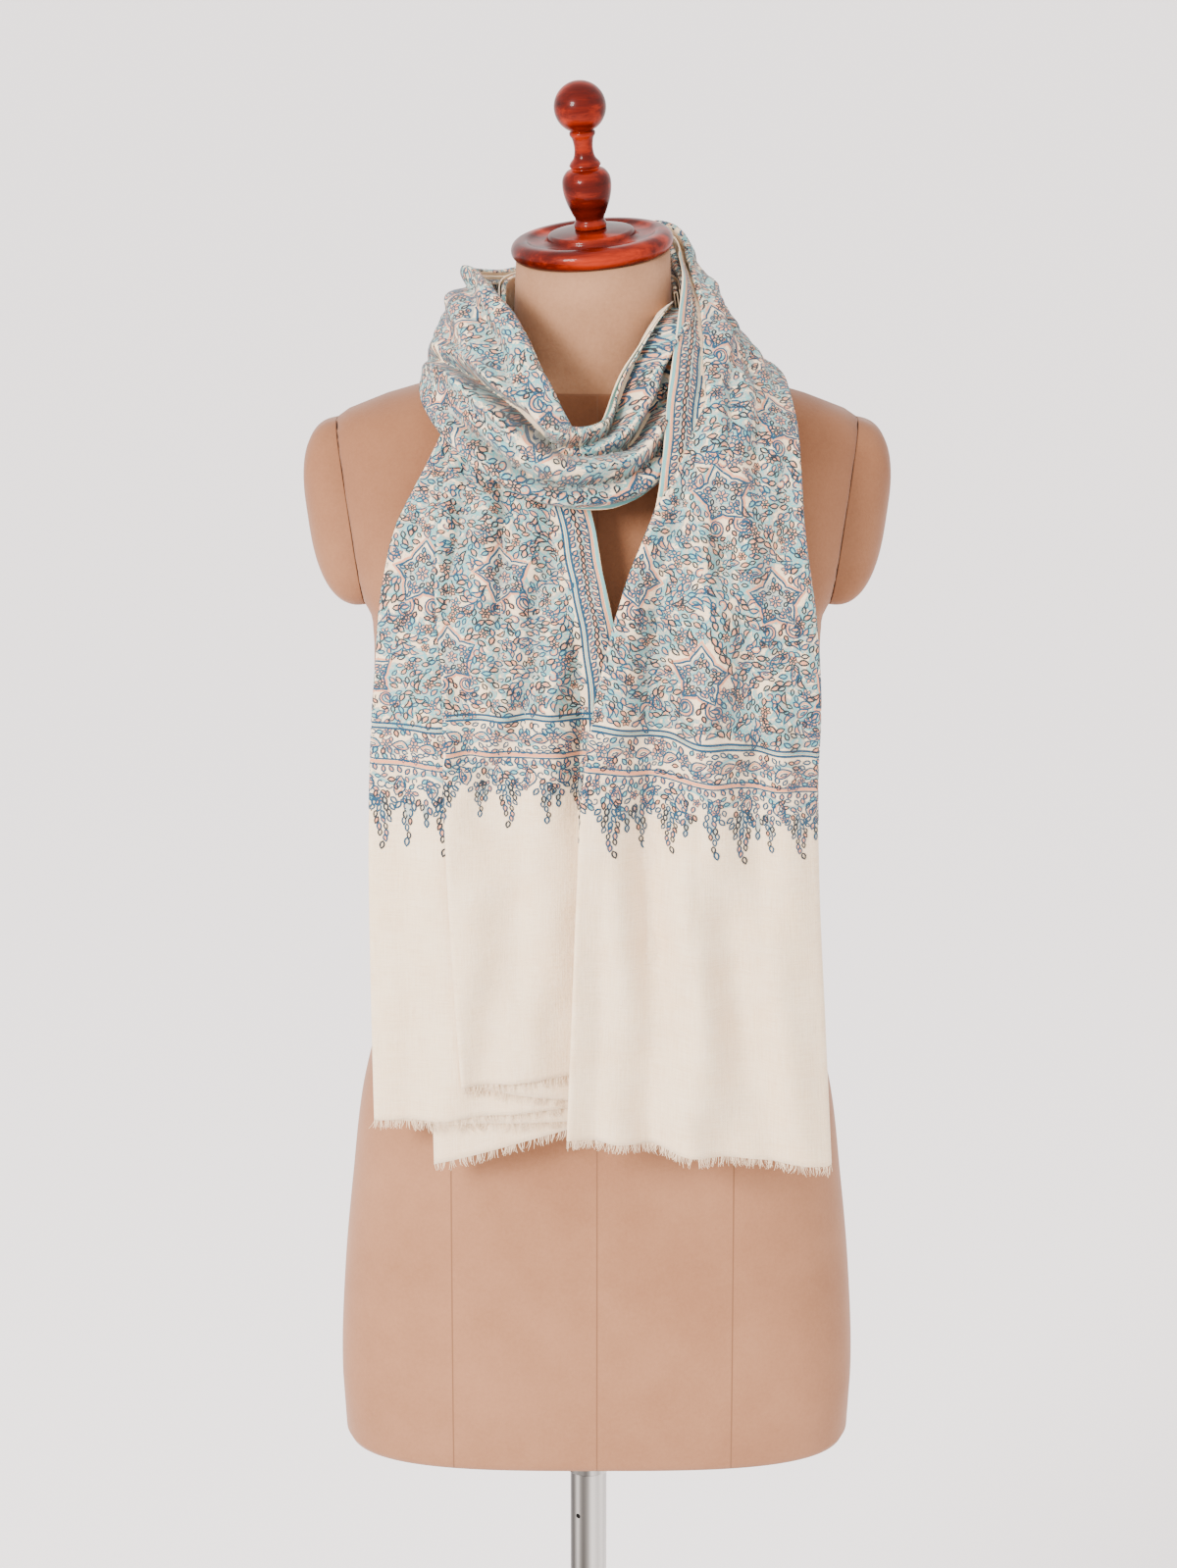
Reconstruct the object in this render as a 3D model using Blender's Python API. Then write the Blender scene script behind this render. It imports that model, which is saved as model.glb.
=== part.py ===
"""A pashmina shawl, wound once round the neck of a limbless dress form.

Metres, +Z up, the origin on the floor under the pole. The viewer stands at -Y; "left" and "right"
are the viewer's. The shawl is one length of cloth. Every point of it has a flat place (across, along)
and lies on a folded section, which a path carries up the left tail, round the neck and down the
right tail. The nodes are stretches of that one surface.
"""

import math

import bmesh
import bpy
import numpy as np
from mathutils import Vector

# ---- driving sizes ----------------------------------------------------------
GAP = 0.0003                # clearance between pieces that touch
WALL = 0.0010               # cloth wall
LAYER_SAMPLES = 5           # points across each layer of a folded section
FRINGE_LENGTH = 0.008       # eyelash fringe on each hem

FLOOR_TO_TORSO = 0.6145     # underside of the torso
NECK_TOP = 1.4735           # where the wooden cap sits
TORSO_CENTRE_X = 0.006      # the torso sits a little to one side of its pole
NECK_CENTRE_X = 0.003
NECK_BASE = 1.36
TILT_START = 1.43           # above it the neck tilts into the slope of its cap
CAP_TILT = math.radians(6.0)        # forward
CAP_ROLL = math.radians(5.0)        # up on the viewer's right

FINIAL_SEAT = 0.0182        # its height on the disc
POLE_RADIUS = 0.01335
COLLAR_RADIUS = 0.0161
COLLAR_LENGTH = 0.041
BASE_RADIUS = 0.22
SOCKET_TOP = 0.055
LOCK_HOLE_RADIUS = 0.0019
LOCK_HOLE_HEIGHT = 0.539

# ---- torso: one row for each level -------------------------------------------
TORSO_COLUMNS = ("height", "half_width", "half_depth", "centre_y", "squareness")
TORSO = (
    (0.6145, 0.1770, 0.0925, 0.000, 3.2),
    (0.6165, 0.1815, 0.0970, 0.000, 3.2),
    (0.6215, 0.1840, 0.0995, 0.000, 3.2),
    (0.6600, 0.1862, 0.1020, 0.000, 3.1),
    (0.7430, 0.1832, 0.1030, 0.001, 2.9),
    (0.8120, 0.1765, 0.1015, 0.001, 2.8),
    (0.8770, 0.1685, 0.0970, 0.000, 2.7),
    (0.9400, 0.1530, 0.0900, -0.001, 2.6),
    (1.0200, 0.1370, 0.0840, -0.003, 2.5),
    (1.0900, 0.1440, 0.0930, -0.006, 2.5),
    (1.1400, 0.1515, 0.1040, -0.009, 2.5),
    (1.1800, 0.1550, 0.1110, -0.010, 2.6),
    (1.2150, 0.1555, 0.1100, -0.006, 2.6),
    (1.2290, 0.1575, 0.1085, -0.003, 2.6),
    (1.2400, 0.1640, 0.1060, -0.001, 2.6),
    (1.2700, 0.1760, 0.0985, 0.005, 2.6),
    (1.3050, 0.1820, 0.0890, 0.009, 2.6),
    (1.3350, 0.1850, 0.0780, 0.010, 2.6),
    (1.3520, 0.1845, 0.0710, 0.009, 2.5),
    (1.3610, 0.1790, 0.0665, 0.008, 2.4),
    (1.3672, 0.1690, 0.0640, 0.007, 2.4),
    (1.3725, 0.1550, 0.0620, 0.006, 2.3),
    (1.3775, 0.1430, 0.0605, 0.005, 2.2),
    (1.3820, 0.1270, 0.0590, 0.004, 2.2),
    (1.3855, 0.1150, 0.0580, 0.003, 2.1),
    (1.3890, 0.0930, 0.0568, 0.002, 2.1),
    (1.3935, 0.0730, 0.0556, 0.002, 2.0),
    (1.4020, 0.0600, 0.0545, 0.001, 2.0),
    (1.4200, 0.0552, 0.0532, 0.000, 2.0),
    (1.4450, 0.0535, 0.0528, 0.000, 2.0),
    (NECK_TOP, 0.0525, 0.0525, 0.000, 2.0),
)
TORSO_SIDES = 40
ARMHOLE_LOW = (0.1605, 1.238)      # distance from the torso's middle, height
ARMHOLE_HIGH = (0.1795, 1.359)
ARM_CAP_REACH = 0.031
ARM_CAP_FULLNESS = 2.5

# ---- the shawl's path: one row for each section --------------------------------
# The middle of the folded bundle, the way it faces, half its width and half its thickness, and how
# far its two sides bend back round the body (edge_a's side, then edge_b's side).
PATH_COLUMNS = ("x", "y", "z", "out_x", "out_y", "out_z", "half", "thick", "bend_a", "bend_b")
LEFT_PATH = (
    (-0.0665, -0.1370, 0.900, 0.00, -1.00, 0.02, 0.0814, 0.0066, 0.003, 0.018),
    (-0.0678, -0.1380, 0.996, 0.00, -1.00, 0.02, 0.0811, 0.0066, 0.003, 0.020),
    (-0.0670, -0.1390, 1.101, 0.00, -1.00, 0.02, 0.0815, 0.0066, 0.003, 0.022),
    (-0.0630, -0.1350, 1.204, -0.02, -1.00, 0.10, 0.0812, 0.0066, 0.003, 0.022),
    (-0.0647, -0.1190, 1.269, -0.04, -0.96, 0.28, 0.0744, 0.0064, 0.002, 0.018),
    (-0.0628, -0.0980, 1.319, -0.08, -0.91, 0.40, 0.0628, 0.0062, 0.002, 0.010),
    (-0.0640, -0.0810, 1.352, -0.14, -0.87, 0.46, 0.0440, 0.0060, 0.001, 0.004),
    (-0.0660, -0.0680, 1.377, -0.28, -0.82, 0.46, 0.0300, 0.0058, 0.000, 0.001),
)
INNER_WRAP_PATH = (
    (-0.0665, -0.0640, 1.3840, -0.34, -0.80, 0.46, 0.0240, 0.0032, 0.000, 0.000),
    (-0.0680, -0.0440, 1.4080, -0.74, -0.52, 0.36, 0.0220, 0.0030, 0.000, 0.000),
    (-0.0640, -0.0140, 1.4260, -0.94, -0.16, 0.22, 0.0220, 0.0026, 0.000, 0.000),
    (-0.0560, 0.0250, 1.4340, -0.88, 0.46, 0.10, 0.0220, 0.0024, 0.000, 0.000),
    (-0.0320, 0.0520, 1.4360, -0.52, 0.85, 0.05, 0.0220, 0.0024, 0.000, 0.000),
    (0.0030, 0.0600, 1.4370, 0.00, 1.00, 0.05, 0.0220, 0.0024, 0.000, 0.000),
    (0.0370, 0.0520, 1.4370, 0.52, 0.85, 0.05, 0.0220, 0.0024, 0.000, 0.000),
    (0.0590, 0.0260, 1.4350, 0.88, 0.46, 0.10, 0.0200, 0.0024, 0.000, 0.000),
    (0.0630, -0.0060, 1.4320, 0.98, -0.06, 0.15, 0.0180, 0.0023, 0.000, 0.000),
)
LOOP_PATH = (
    (0.0640, -0.0150, 1.4290, 0.93, -0.32, 0.16, 0.0170, 0.0052, 0.000, 0.000),
    (0.0606, -0.0420, 1.4200, 0.78, -0.56, 0.24, 0.0240, 0.0064, 0.000, 0.000),
    (0.0500, -0.0740, 1.3910, 0.42, -0.86, 0.32, 0.0310, 0.0072, 0.001, 0.002),
    (0.0230, -0.1050, 1.3520, 0.10, -0.95, 0.30, 0.0265, 0.0098, 0.002, 0.004),
    (-0.0210, -0.1200, 1.3500, -0.18, -0.94, 0.28, 0.0265, 0.0108, 0.003, 0.004),
    (-0.0560, -0.1110, 1.3820, -0.46, -0.82, 0.34, 0.0390, 0.0110, 0.004, 0.004),
    (-0.0775, -0.0740, 1.4110, -0.66, -0.50, 0.54, 0.0440, 0.0110, 0.004, 0.004),
    (-0.0890, -0.0250, 1.4310, -0.90, -0.08, 0.40, 0.0370, 0.0105, 0.003, 0.003),
)
RIGHT_WRAP_PATH = (
    (-0.0820, 0.0280, 1.4280, -0.86, 0.44, 0.24, 0.0310, 0.0100, 0.002, 0.002),
    (-0.0500, 0.0690, 1.4230, -0.52, 0.84, 0.10, 0.0320, 0.0100, 0.002, 0.002),
    (0.0030, 0.0820, 1.4370, 0.00, 1.00, 0.06, 0.0360, 0.0100, 0.002, 0.002),
    (0.0480, 0.0720, 1.4490, 0.46, 0.84, 0.16, 0.0390, 0.0096, 0.002, 0.002),
    (0.0740, 0.0420, 1.4390, 0.76, 0.44, 0.44, 0.0400, 0.0080, 0.001, 0.002),
)
RIGHT_PATH = (
    (0.0890, -0.0040, 1.4300, 0.78, -0.02, 0.60, 0.0420, 0.0070, 0.000, 0.002),
    (0.0960, -0.0450, 1.4120, 0.58, -0.46, 0.64, 0.0430, 0.0068, 0.000, 0.003),
    (0.0970, -0.0870, 1.3790, 0.32, -0.80, 0.52, 0.0450, 0.0062, 0.000, 0.005),
    (0.0935, -0.1180, 1.3160, 0.10, -0.95, 0.28, 0.0507, 0.0064, 0.000, 0.010),
    (0.0875, -0.1340, 1.2650, 0.04, -0.98, 0.16, 0.0640, 0.0066, -0.003, 0.016),
    (0.0814, -0.1450, 1.2050, 0.00, -1.00, 0.06, 0.0739, 0.0066, -0.009, 0.020),
    (0.0750, -0.1480, 1.1350, 0.00, -1.00, 0.02, 0.0790, 0.0066, -0.012, 0.022),
    (0.0741, -0.1480, 1.0680, 0.00, -1.00, 0.02, 0.0817, 0.0066, -0.012, 0.022),
    (0.0750, -0.1470, 0.9570, 0.00, -1.00, 0.02, 0.0870, 0.0066, -0.012, 0.020),
    (0.0757, -0.1460, 0.8680, 0.00, -1.00, 0.02, 0.0913, 0.0066, -0.012, 0.016),
)

# ---- the shawl's folds: where each lies across the bundle, from +1 to -1 --------
FOLD_COLUMNS = ("edge_a", "fold_1", "fold_2", "fold_3", "fold_4", "edge_b")
LEFT_FOLDS = (      # share of the stretch's path, then the six columns
    (0.00, 1.12, -0.24, 0.97, -1.00, 1.00, -0.50),
    (0.40, 1.12, -0.36, 0.97, -1.00, 1.00, -0.50),
    (0.60, 1.05, -0.42, 0.95, -1.00, 0.95, -0.60),
    (0.84, 1.00, -0.55, 0.95, -1.00, 0.95, -0.90),
    (1.00, 1.00, -0.70, 0.95, -1.00, 0.95, -0.95),
)
RIGHT_FOLDS = (
    (0.00, 1.00, -0.40, 0.96, -1.00, 0.90, -0.98),
    (0.11, 1.06, -0.40, 1.00, -1.00, 0.90, -1.06),
    (0.20, 1.00, -0.40, 1.00, -1.00, 0.90, -1.00),
    (0.45, 1.02, -0.40, 1.00, -1.00, 0.90, -1.00),
    (0.51, 1.06, -0.35, 0.74, -1.00, 0.86, -0.98),
    (0.58, 1.06, -0.25, 0.46, -1.00, 0.84, -0.96),
    (0.64, 0.98, -0.20, 0.98, -1.00, 0.90, -0.96),
    (0.72, 0.74, -0.10, 1.00, -1.00, 0.92, -0.97),
    (1.00, 0.60, -0.10, 1.00, -1.00, 0.93, -0.97),
)
INNER_FOLDS = (
    (0.00, 1.00, -0.96, 0.96, -1.00),
    (1.00, 1.00, -0.96, 0.96, -1.00),
)
LEFT_DEPTHS = (1.0, 0.5, 0.0, -0.5, -1.0)      # each layer's place, from +1 outermost to -1
INNER_DEPTHS = (1.0, 0.0, -1.0)
RIGHT_DEPTHS = (0.0, 0.5, 1.0, -0.5, -1.0)     # the first two tuck behind the third
LEFT_DROPS = (-0.035, -0.023, -0.008, 0.007, 0.005, 0.038)      # how much lower each fold's hem hangs
INNER_DROPS = (0.0, 0.0, 0.0, 0.0)
RIGHT_DROPS = (-0.022, -0.024, -0.026, 0.004, -0.022, -0.020)
EDGE_TAPER = 0.12           # how much flatter the bundle is at its sides
DROP_FADE = 0.45            # path length over which a drop dies out above its hem

# ---- colours ------------------------------------------------------------------
FINISHES = {                # red, green, blue, roughness, metallic
    "cloth": (0.80, 0.76, 0.68, 0.85, 0.0),
    "suede": (0.60, 0.44, 0.35, 0.90, 0.0),
    "wood": (0.30, 0.05, 0.02, 0.18, 0.0),
    "steel": (0.55, 0.55, 0.55, 0.25, 1.0),
    "base": (0.08, 0.08, 0.08, 0.45, 0.6),
}


def finish(name):
    """The material of that name, made once."""
    found = bpy.data.materials.get(name)
    if found:
        return found
    made = bpy.data.materials.new(name)
    made.use_nodes = True
    shader = made.node_tree.nodes["Principled BSDF"]
    red, green, blue, roughness, metallic = FINISHES[name]
    shader.inputs["Base Color"].default_value = (red, green, blue, 1.0)
    shader.inputs["Roughness"].default_value = roughness
    shader.inputs["Metallic"].default_value = metallic
    return made


def add_object(name, mesh, material, smooth=math.radians(40)):
    """Links a mesh as the named sub-part, round places shaded smooth."""
    mesh.materials.append(finish(material))
    mesh.shade_smooth()
    mesh.set_sharp_from_angle(angle=smooth)
    made = bpy.data.objects.new(name, mesh)
    bpy.context.scene.collection.objects.link(made)
    return made


def mesh_of(name, points, faces):
    """A mesh with its faces turned outwards."""
    mesh = bpy.data.meshes.new(name)
    mesh.from_pydata([tuple(p) for p in points], [], faces)
    bm = bmesh.new()
    bm.from_mesh(mesh)
    bmesh.ops.recalc_face_normals(bm, faces=bm.faces)
    bm.to_mesh(mesh)
    bm.free()
    return mesh


def skin(rings, close_ends=True):
    """Points and faces of a tube through rings of the same count, with flat ends."""
    count = len(rings[0])
    points = [p for ring in rings for p in ring]
    faces = []
    for i in range(len(rings) - 1):
        for j in range(count):
            k = (j + 1) % count
            faces.append((i * count + j, i * count + k, (i + 1) * count + k, (i + 1) * count + j))
    if close_ends:
        faces.append(tuple(reversed(range(count))))
        faces.append(tuple(range((len(rings) - 1) * count, len(rings) * count)))
    return points, faces


def turned(name, profile, sides, material, place=(0, 0, 0), tilt=(0, 0, 0)):
    """A turned piece: (radius, height) pairs from bottom to top, the first and last on its end faces."""
    rings = [
        [(r * math.cos(a), r * math.sin(a), h) for a in np.arange(sides) * math.tau / sides]
        for r, h in profile
    ]
    made = add_object(name, mesh_of(name, *skin(rings)), material)
    made.location = place
    made.rotation_euler = tilt
    return made


def arc(centre_r, centre_h, radius, start, end, steps):
    """Profile points on an arc, angles in degrees from the outward horizontal."""
    return [
        (centre_r + radius * math.cos(math.radians(a)), centre_h + radius * math.sin(math.radians(a)))
        for a in np.linspace(start, end, steps)
    ]


# ---- the dress form --------------------------------------------------------------
def torso_ring(height, half_width, half_depth, centre_y, squareness):
    """A rounded-square ring of the torso, which leans from its own middle to the neck's."""
    neckward = min(max((height - NECK_BASE) / 0.06, 0.0), 1.0)
    middle = TORSO_CENTRE_X + (NECK_CENTRE_X - TORSO_CENTRE_X) * neckward
    tilted = max((height - TILT_START) / (NECK_TOP - TILT_START), 0.0)
    ring = []
    for angle in np.arange(TORSO_SIDES) * math.tau / TORSO_SIDES:
        c = math.cos(angle)
        s = math.sin(angle)
        x = half_width * math.copysign(abs(c) ** (2 / squareness), c)
        y = half_depth * math.copysign(abs(s) ** (2 / squareness), s)
        slope = x * math.tan(CAP_ROLL) + y * math.tan(CAP_TILT)
        ring.append((middle + x, centre_y + y, height + tilted * slope))
    return ring


def armhole_frame(side):
    """The armhole plane of one side (-1 left, +1 right): its low point, its way up and its way out."""
    low = np.array((TORSO_CENTRE_X + side * ARMHOLE_LOW[0], 0.0, ARMHOLE_LOW[1]))
    high = np.array((TORSO_CENTRE_X + side * ARMHOLE_HIGH[0], 0.0, ARMHOLE_HIGH[1]))
    up = (high - low) / np.linalg.norm(high - low)
    out = np.cross(np.array((0.0, 1.0, 0.0)), up) * side
    return low, up, out


def build_torso():
    """The padded torso and neck, cut flat at the two armholes."""
    rings = [torso_ring(*row) for row in TORSO]
    torso = add_object("form_torso", mesh_of("form_torso", *skin(rings)), "suede")
    for side in (-1, 1):
        low, up, out = armhole_frame(side)
        corners = []
        for reach in (0.0, 0.06):
            for across in (-0.16, 0.16):
                for rise in (-0.030, 0.16):
                    corners.append(low + out * reach + up * rise + np.array((0.0, across, 0.0)))
        faces = ((0, 1, 3, 2), (4, 5, 7, 6), (0, 1, 5, 4), (2, 3, 7, 6), (0, 2, 6, 4), (1, 3, 7, 5))
        cutter = bpy.data.objects.new(f"armhole_cutter{side}", mesh_of("cutter", corners, faces))
        bpy.context.scene.collection.objects.link(cutter)
        cutter.hide_render = True
        cutter.display_type = "WIRE"
        cut = torso.modifiers.new("armhole", "BOOLEAN")
        cut.operation = "DIFFERENCE"
        cut.object = cutter
    return torso


def armhole_ring(count):
    """The armhole's outline in its plane as (rise, across), from where the plane meets each level."""
    levels = np.array([row[0] for row in TORSO])
    rises = np.linspace(-0.02, 0.16, 400)
    lean = (ARMHOLE_HIGH[0] - ARMHOLE_LOW[0]) / (ARMHOLE_HIGH[1] - ARMHOLE_LOW[1])
    heights = ARMHOLE_LOW[1] + rises / math.hypot(1, lean)
    reach = ARMHOLE_LOW[0] + (heights - ARMHOLE_LOW[1]) * lean
    width, depth, middle, square = (
        np.interp(heights, levels, [row[k] for row in TORSO]) for k in (1, 2, 3, 4))
    half = depth * np.maximum(0, 1 - (reach / width) ** square) ** (1 / square)
    cut = rises[half > 0]
    low, high = cut[0], cut[-1]
    ring = []
    for angle in np.arange(count) * math.tau / count:
        rise = (low + high) / 2 + (high - low) / 2 * math.sin(angle)
        across = math.copysign(np.interp(rise, rises, half), math.cos(angle))
        ring.append((rise, across + np.interp(rise, rises, middle)))
    return ring


def build_arm_cap(side, name):
    """A rounded stub on the armhole: rings of its outline that shrink as they stand out."""
    low, up, out = armhole_frame(side)
    outline = np.array(armhole_ring(32))
    middle = (outline.max(axis=0) + outline.min(axis=0)) / 2
    rings = []
    for share in (0.0, 0.25, 0.48, 0.68, 0.83, 0.93, 0.985):
        size = (1 - share ** ARM_CAP_FULLNESS) ** (1 / ARM_CAP_FULLNESS)
        ring = []
        for rise, across in middle + (outline - middle) * size:
            place = low + out * (GAP + share * ARM_CAP_REACH) + up * rise
            ring.append(place + np.array((0.0, across, 0.0)))
        rings.append(ring)
    return add_object(name, mesh_of(name, *skin(rings)), "suede")


def build_neck_cap_and_finial():
    """The turned disc and its finial, tilted a little forward and to one side as they sit."""
    tilt = (CAP_TILT, -CAP_ROLL, 0.0)
    seat = Vector((NECK_CENTRE_X, 0.0, NECK_TOP + GAP))
    disc = [(0.0460, 0.0)] + arc(0.0485, 0.0070, 0.0070, -80, 90, 9)
    disc += [(0.0420, 0.0120), (0.0365, 0.0108), (0.0320, 0.0112), (0.0302, 0.0128)]
    disc += arc(0.0270, 0.0135, 0.0030, 10, 90, 3)
    disc += [(0.0180, 0.0178), (0.0125, FINIAL_SEAT)]
    turned("form_neck_cap", disc, 40, "wood", seat, tilt)

    stem = [(0.0107, 0.0), (0.0110, 0.0030), (0.0098, 0.0060)]
    stem += [(0.0118, 0.0110), (0.0146, 0.0180), (0.0163, 0.0250), (0.0167, 0.0300), (0.0160, 0.0350)]
    stem += [(0.0128, 0.0395), (0.0096, 0.0415), (0.0108, 0.0430), (0.0100, 0.0448)]
    stem += [(0.0076, 0.0480), (0.0064, 0.0530), (0.0066, 0.0580), (0.0076, 0.0620)]
    stem += [(0.0088, 0.0640), (0.0084, 0.0662)]
    stem += arc(0.0, 0.0826, 0.0177, -66, 84, 11)
    finial = turned("form_finial", stem, 24, "wood")
    finial.rotation_euler = tilt
    finial.location = seat + finial.rotation_euler.to_matrix() @ Vector((0, 0, FINIAL_SEAT + GAP))


def build_stand():
    """Collar, pole with its locking hole, and base plate with a socket."""
    under = FLOOR_TO_TORSO - GAP
    inner = POLE_RADIUS + GAP
    foot = under - COLLAR_LENGTH
    ring = [(inner, foot), (COLLAR_RADIUS - 0.0008, foot), (COLLAR_RADIUS, foot + 0.0008)]
    ring += [(COLLAR_RADIUS, under), (inner, under)]
    rings = [
        [(r * math.cos(a), r * math.sin(a), h) for a in np.arange(32) * math.tau / 32]
        for r, h in ring
    ]
    points, faces = skin(rings + rings[:1], close_ends=False)
    count = len(rings) * 32
    faces = [tuple(i % count for i in face) for face in faces]
    add_object("form_collar", mesh_of("form_collar", points[:count], faces), "steel")

    pole = turned(
        "form_pole", [(POLE_RADIUS, SOCKET_TOP + GAP), (POLE_RADIUS, under)], 32, "steel")
    bpy.ops.mesh.primitive_cylinder_add(
        vertices=12, radius=LOCK_HOLE_RADIUS, depth=0.016,
        location=(-0.0086, -0.0120, LOCK_HOLE_HEIGHT), rotation=(math.radians(90), 0, math.radians(-36)))
    cutter = bpy.context.object
    cutter.name = "lock_hole_cutter"
    cutter.hide_render = True
    cutter.display_type = "WIRE"
    cut = pole.modifiers.new("lock hole", "BOOLEAN")
    cut.operation = "DIFFERENCE"
    cut.object = cutter

    plate = [(BASE_RADIUS - 0.002, 0.0), (BASE_RADIUS, 0.002), (BASE_RADIUS, 0.008)]
    plate += [(BASE_RADIUS - 0.004, 0.0115), (0.150, 0.0165), (0.060, 0.0205), (0.034, 0.0230)]
    plate += [(0.026, 0.0280), (0.0235, 0.0340), (0.0235, SOCKET_TOP - 0.002), (0.0220, SOCKET_TOP)]
    turned("form_base", plate, 48, "base")


# ---- the shawl -----------------------------------------------------------------------
def spline(rows, places):
    """Catmull-Rom through rows at their chord distances, read at places along that distance."""
    rows = np.asarray(rows, float)
    steps = np.linalg.norm(np.diff(rows[:, :3], axis=0), axis=1)
    at = np.concatenate(([0.0], np.cumsum(steps)))
    slopes = np.gradient(rows, at, axis=0)
    places = np.asarray(places, float)
    inside = np.clip(places, at[0], at[-1])
    i = np.clip(np.searchsorted(at, inside, side="right") - 1, 0, len(at) - 2)
    span = (at[i + 1] - at[i])[:, None]
    t = ((inside - at[i]) / (at[i + 1] - at[i]))[:, None]
    h00 = 2 * t**3 - 3 * t**2 + 1
    h10 = t**3 - 2 * t**2 + t
    h01 = -2 * t**3 + 3 * t**2
    h11 = t**3 - t**2
    value = h00 * rows[i] + h10 * span * slopes[i] + h01 * rows[i + 1] + h11 * span * slopes[i + 1]
    past = (places - inside)[:, None]
    end_slope = np.where(past < 0, slopes[0], slopes[-1])
    return value + past * end_slope


def path_length(rows):
    """The length of a path's chords."""
    return float(np.linalg.norm(np.diff(np.asarray(rows)[:, :3], axis=0), axis=1).sum())


def section(folds, depths, drops, samples):
    """The folded section as (across, depth, drop): each layer's run, then the turn to the next layer.

    across is in half widths and depth in half thicknesses; samples is the points on a layer's run.
    """
    points = []
    turn = 0.03
    layers = len(depths)
    for layer in range(layers):
        start = folds[layer]
        end = folds[layer + 1]
        way = math.copysign(1.0, end - start)
        first = start + (way * turn if layer > 0 else 0.0)
        last = end - (way * turn if layer < layers - 1 else 0.0)
        for share in np.linspace(0.0, 1.0, samples):
            drop = drops[layer] + (drops[layer + 1] - drops[layer]) * share
            points.append((first + (last - first) * share, depths[layer], drop))
        if layer < layers - 1:
            points.append((end, (depths[layer] + depths[layer + 1]) / 2, drops[layer + 1]))
    return np.array(points)


def stretch(path, fold_table, depths, drops, start, end, rows, gather, samples, hem):
    """A grid of points, rows along the path by points across, for one stretch of the shawl.

    gather above 0 sets the rows closer at the start, below 0 closer at the end. hem is -1 where the
    path starts at a hem, +1 where it ends at one.
    """
    length = path_length(path)
    fold_table = np.asarray(fold_table)
    grid = []
    for t in np.linspace(0.0, 1.0, rows):
        place = start + (end - start) * (t - gather * t * (1 - t))
        share = min(max(place / length, 0.0), 1.0)
        folds = [np.interp(share, fold_table[:, 0], column) for column in fold_table[:, 1:].T]
        across, depth, drop = section(folds, depths, drops, samples).T
        from_hem = place if hem < 0 else length - place
        at = place + hem * drop * max(0.0, 1 - from_hem / DROP_FADE)
        here = spline(path, at)
        ahead = spline(path, at + 0.002)
        behind = spline(path, at - 0.002)
        along = ahead[:, :3] - behind[:, :3]
        along /= np.linalg.norm(along, axis=1)[:, None]
        out = here[:, 3:6]
        out = out - along * (out * along).sum(axis=1)[:, None]
        out /= np.linalg.norm(out, axis=1)[:, None]
        side = np.cross(along, out)
        half, thick, bend_a, bend_b = here[:, 6:10].T
        bend = np.where(across > 0, bend_a, bend_b) * across**2
        raised = depth * thick * (1 - EDGE_TAPER * across**2) - bend
        grid.append(here[:, :3] + side * (half * across)[:, None] + out * raised[:, None])
    return np.array(grid)


def wall_mesh(name, grid, thickness):
    """A closed wall: the grid moved out and in by half the thickness, with its four rims."""
    down = np.gradient(grid, axis=0)
    over = np.gradient(grid, axis=1)
    normal = np.cross(over, down)
    normal /= np.linalg.norm(normal, axis=2)[:, :, None]
    rows, cols = grid.shape[:2]
    front = (grid + normal * thickness / 2).reshape(-1, 3)
    back = (grid - normal * thickness / 2).reshape(-1, 3)
    points = np.concatenate((front, back))
    half = rows * cols

    def at(r, c):
        return r * cols + c

    faces = []
    for r in range(rows - 1):
        for c in range(cols - 1):
            quad = (at(r, c), at(r, c + 1), at(r + 1, c + 1), at(r + 1, c))
            for a, b, d in ((0, 1, 2), (0, 2, 3)):
                faces.append((quad[a], quad[b], quad[d]))
                faces.append((quad[d] + half, quad[b] + half, quad[a] + half))
    rim = [at(0, c) for c in range(cols)] + [at(r, cols - 1) for r in range(1, rows)]
    rim += [at(rows - 1, c) for c in range(cols - 2, -1, -1)] + [at(r, 0) for r in range(rows - 2, 0, -1)]
    for a, b in zip(rim, rim[1:] + rim[:1]):
        faces.append((a, a + half, b + half))
        faces.append((a, b + half, b))
    return mesh_of(name, points, faces)


RIGHT_RUN = LOOP_PATH + RIGHT_WRAP_PATH + RIGHT_PATH


def run_place(run, count):
    """Where the run's first count rows end, along the run."""
    return path_length(run[:count])


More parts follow.
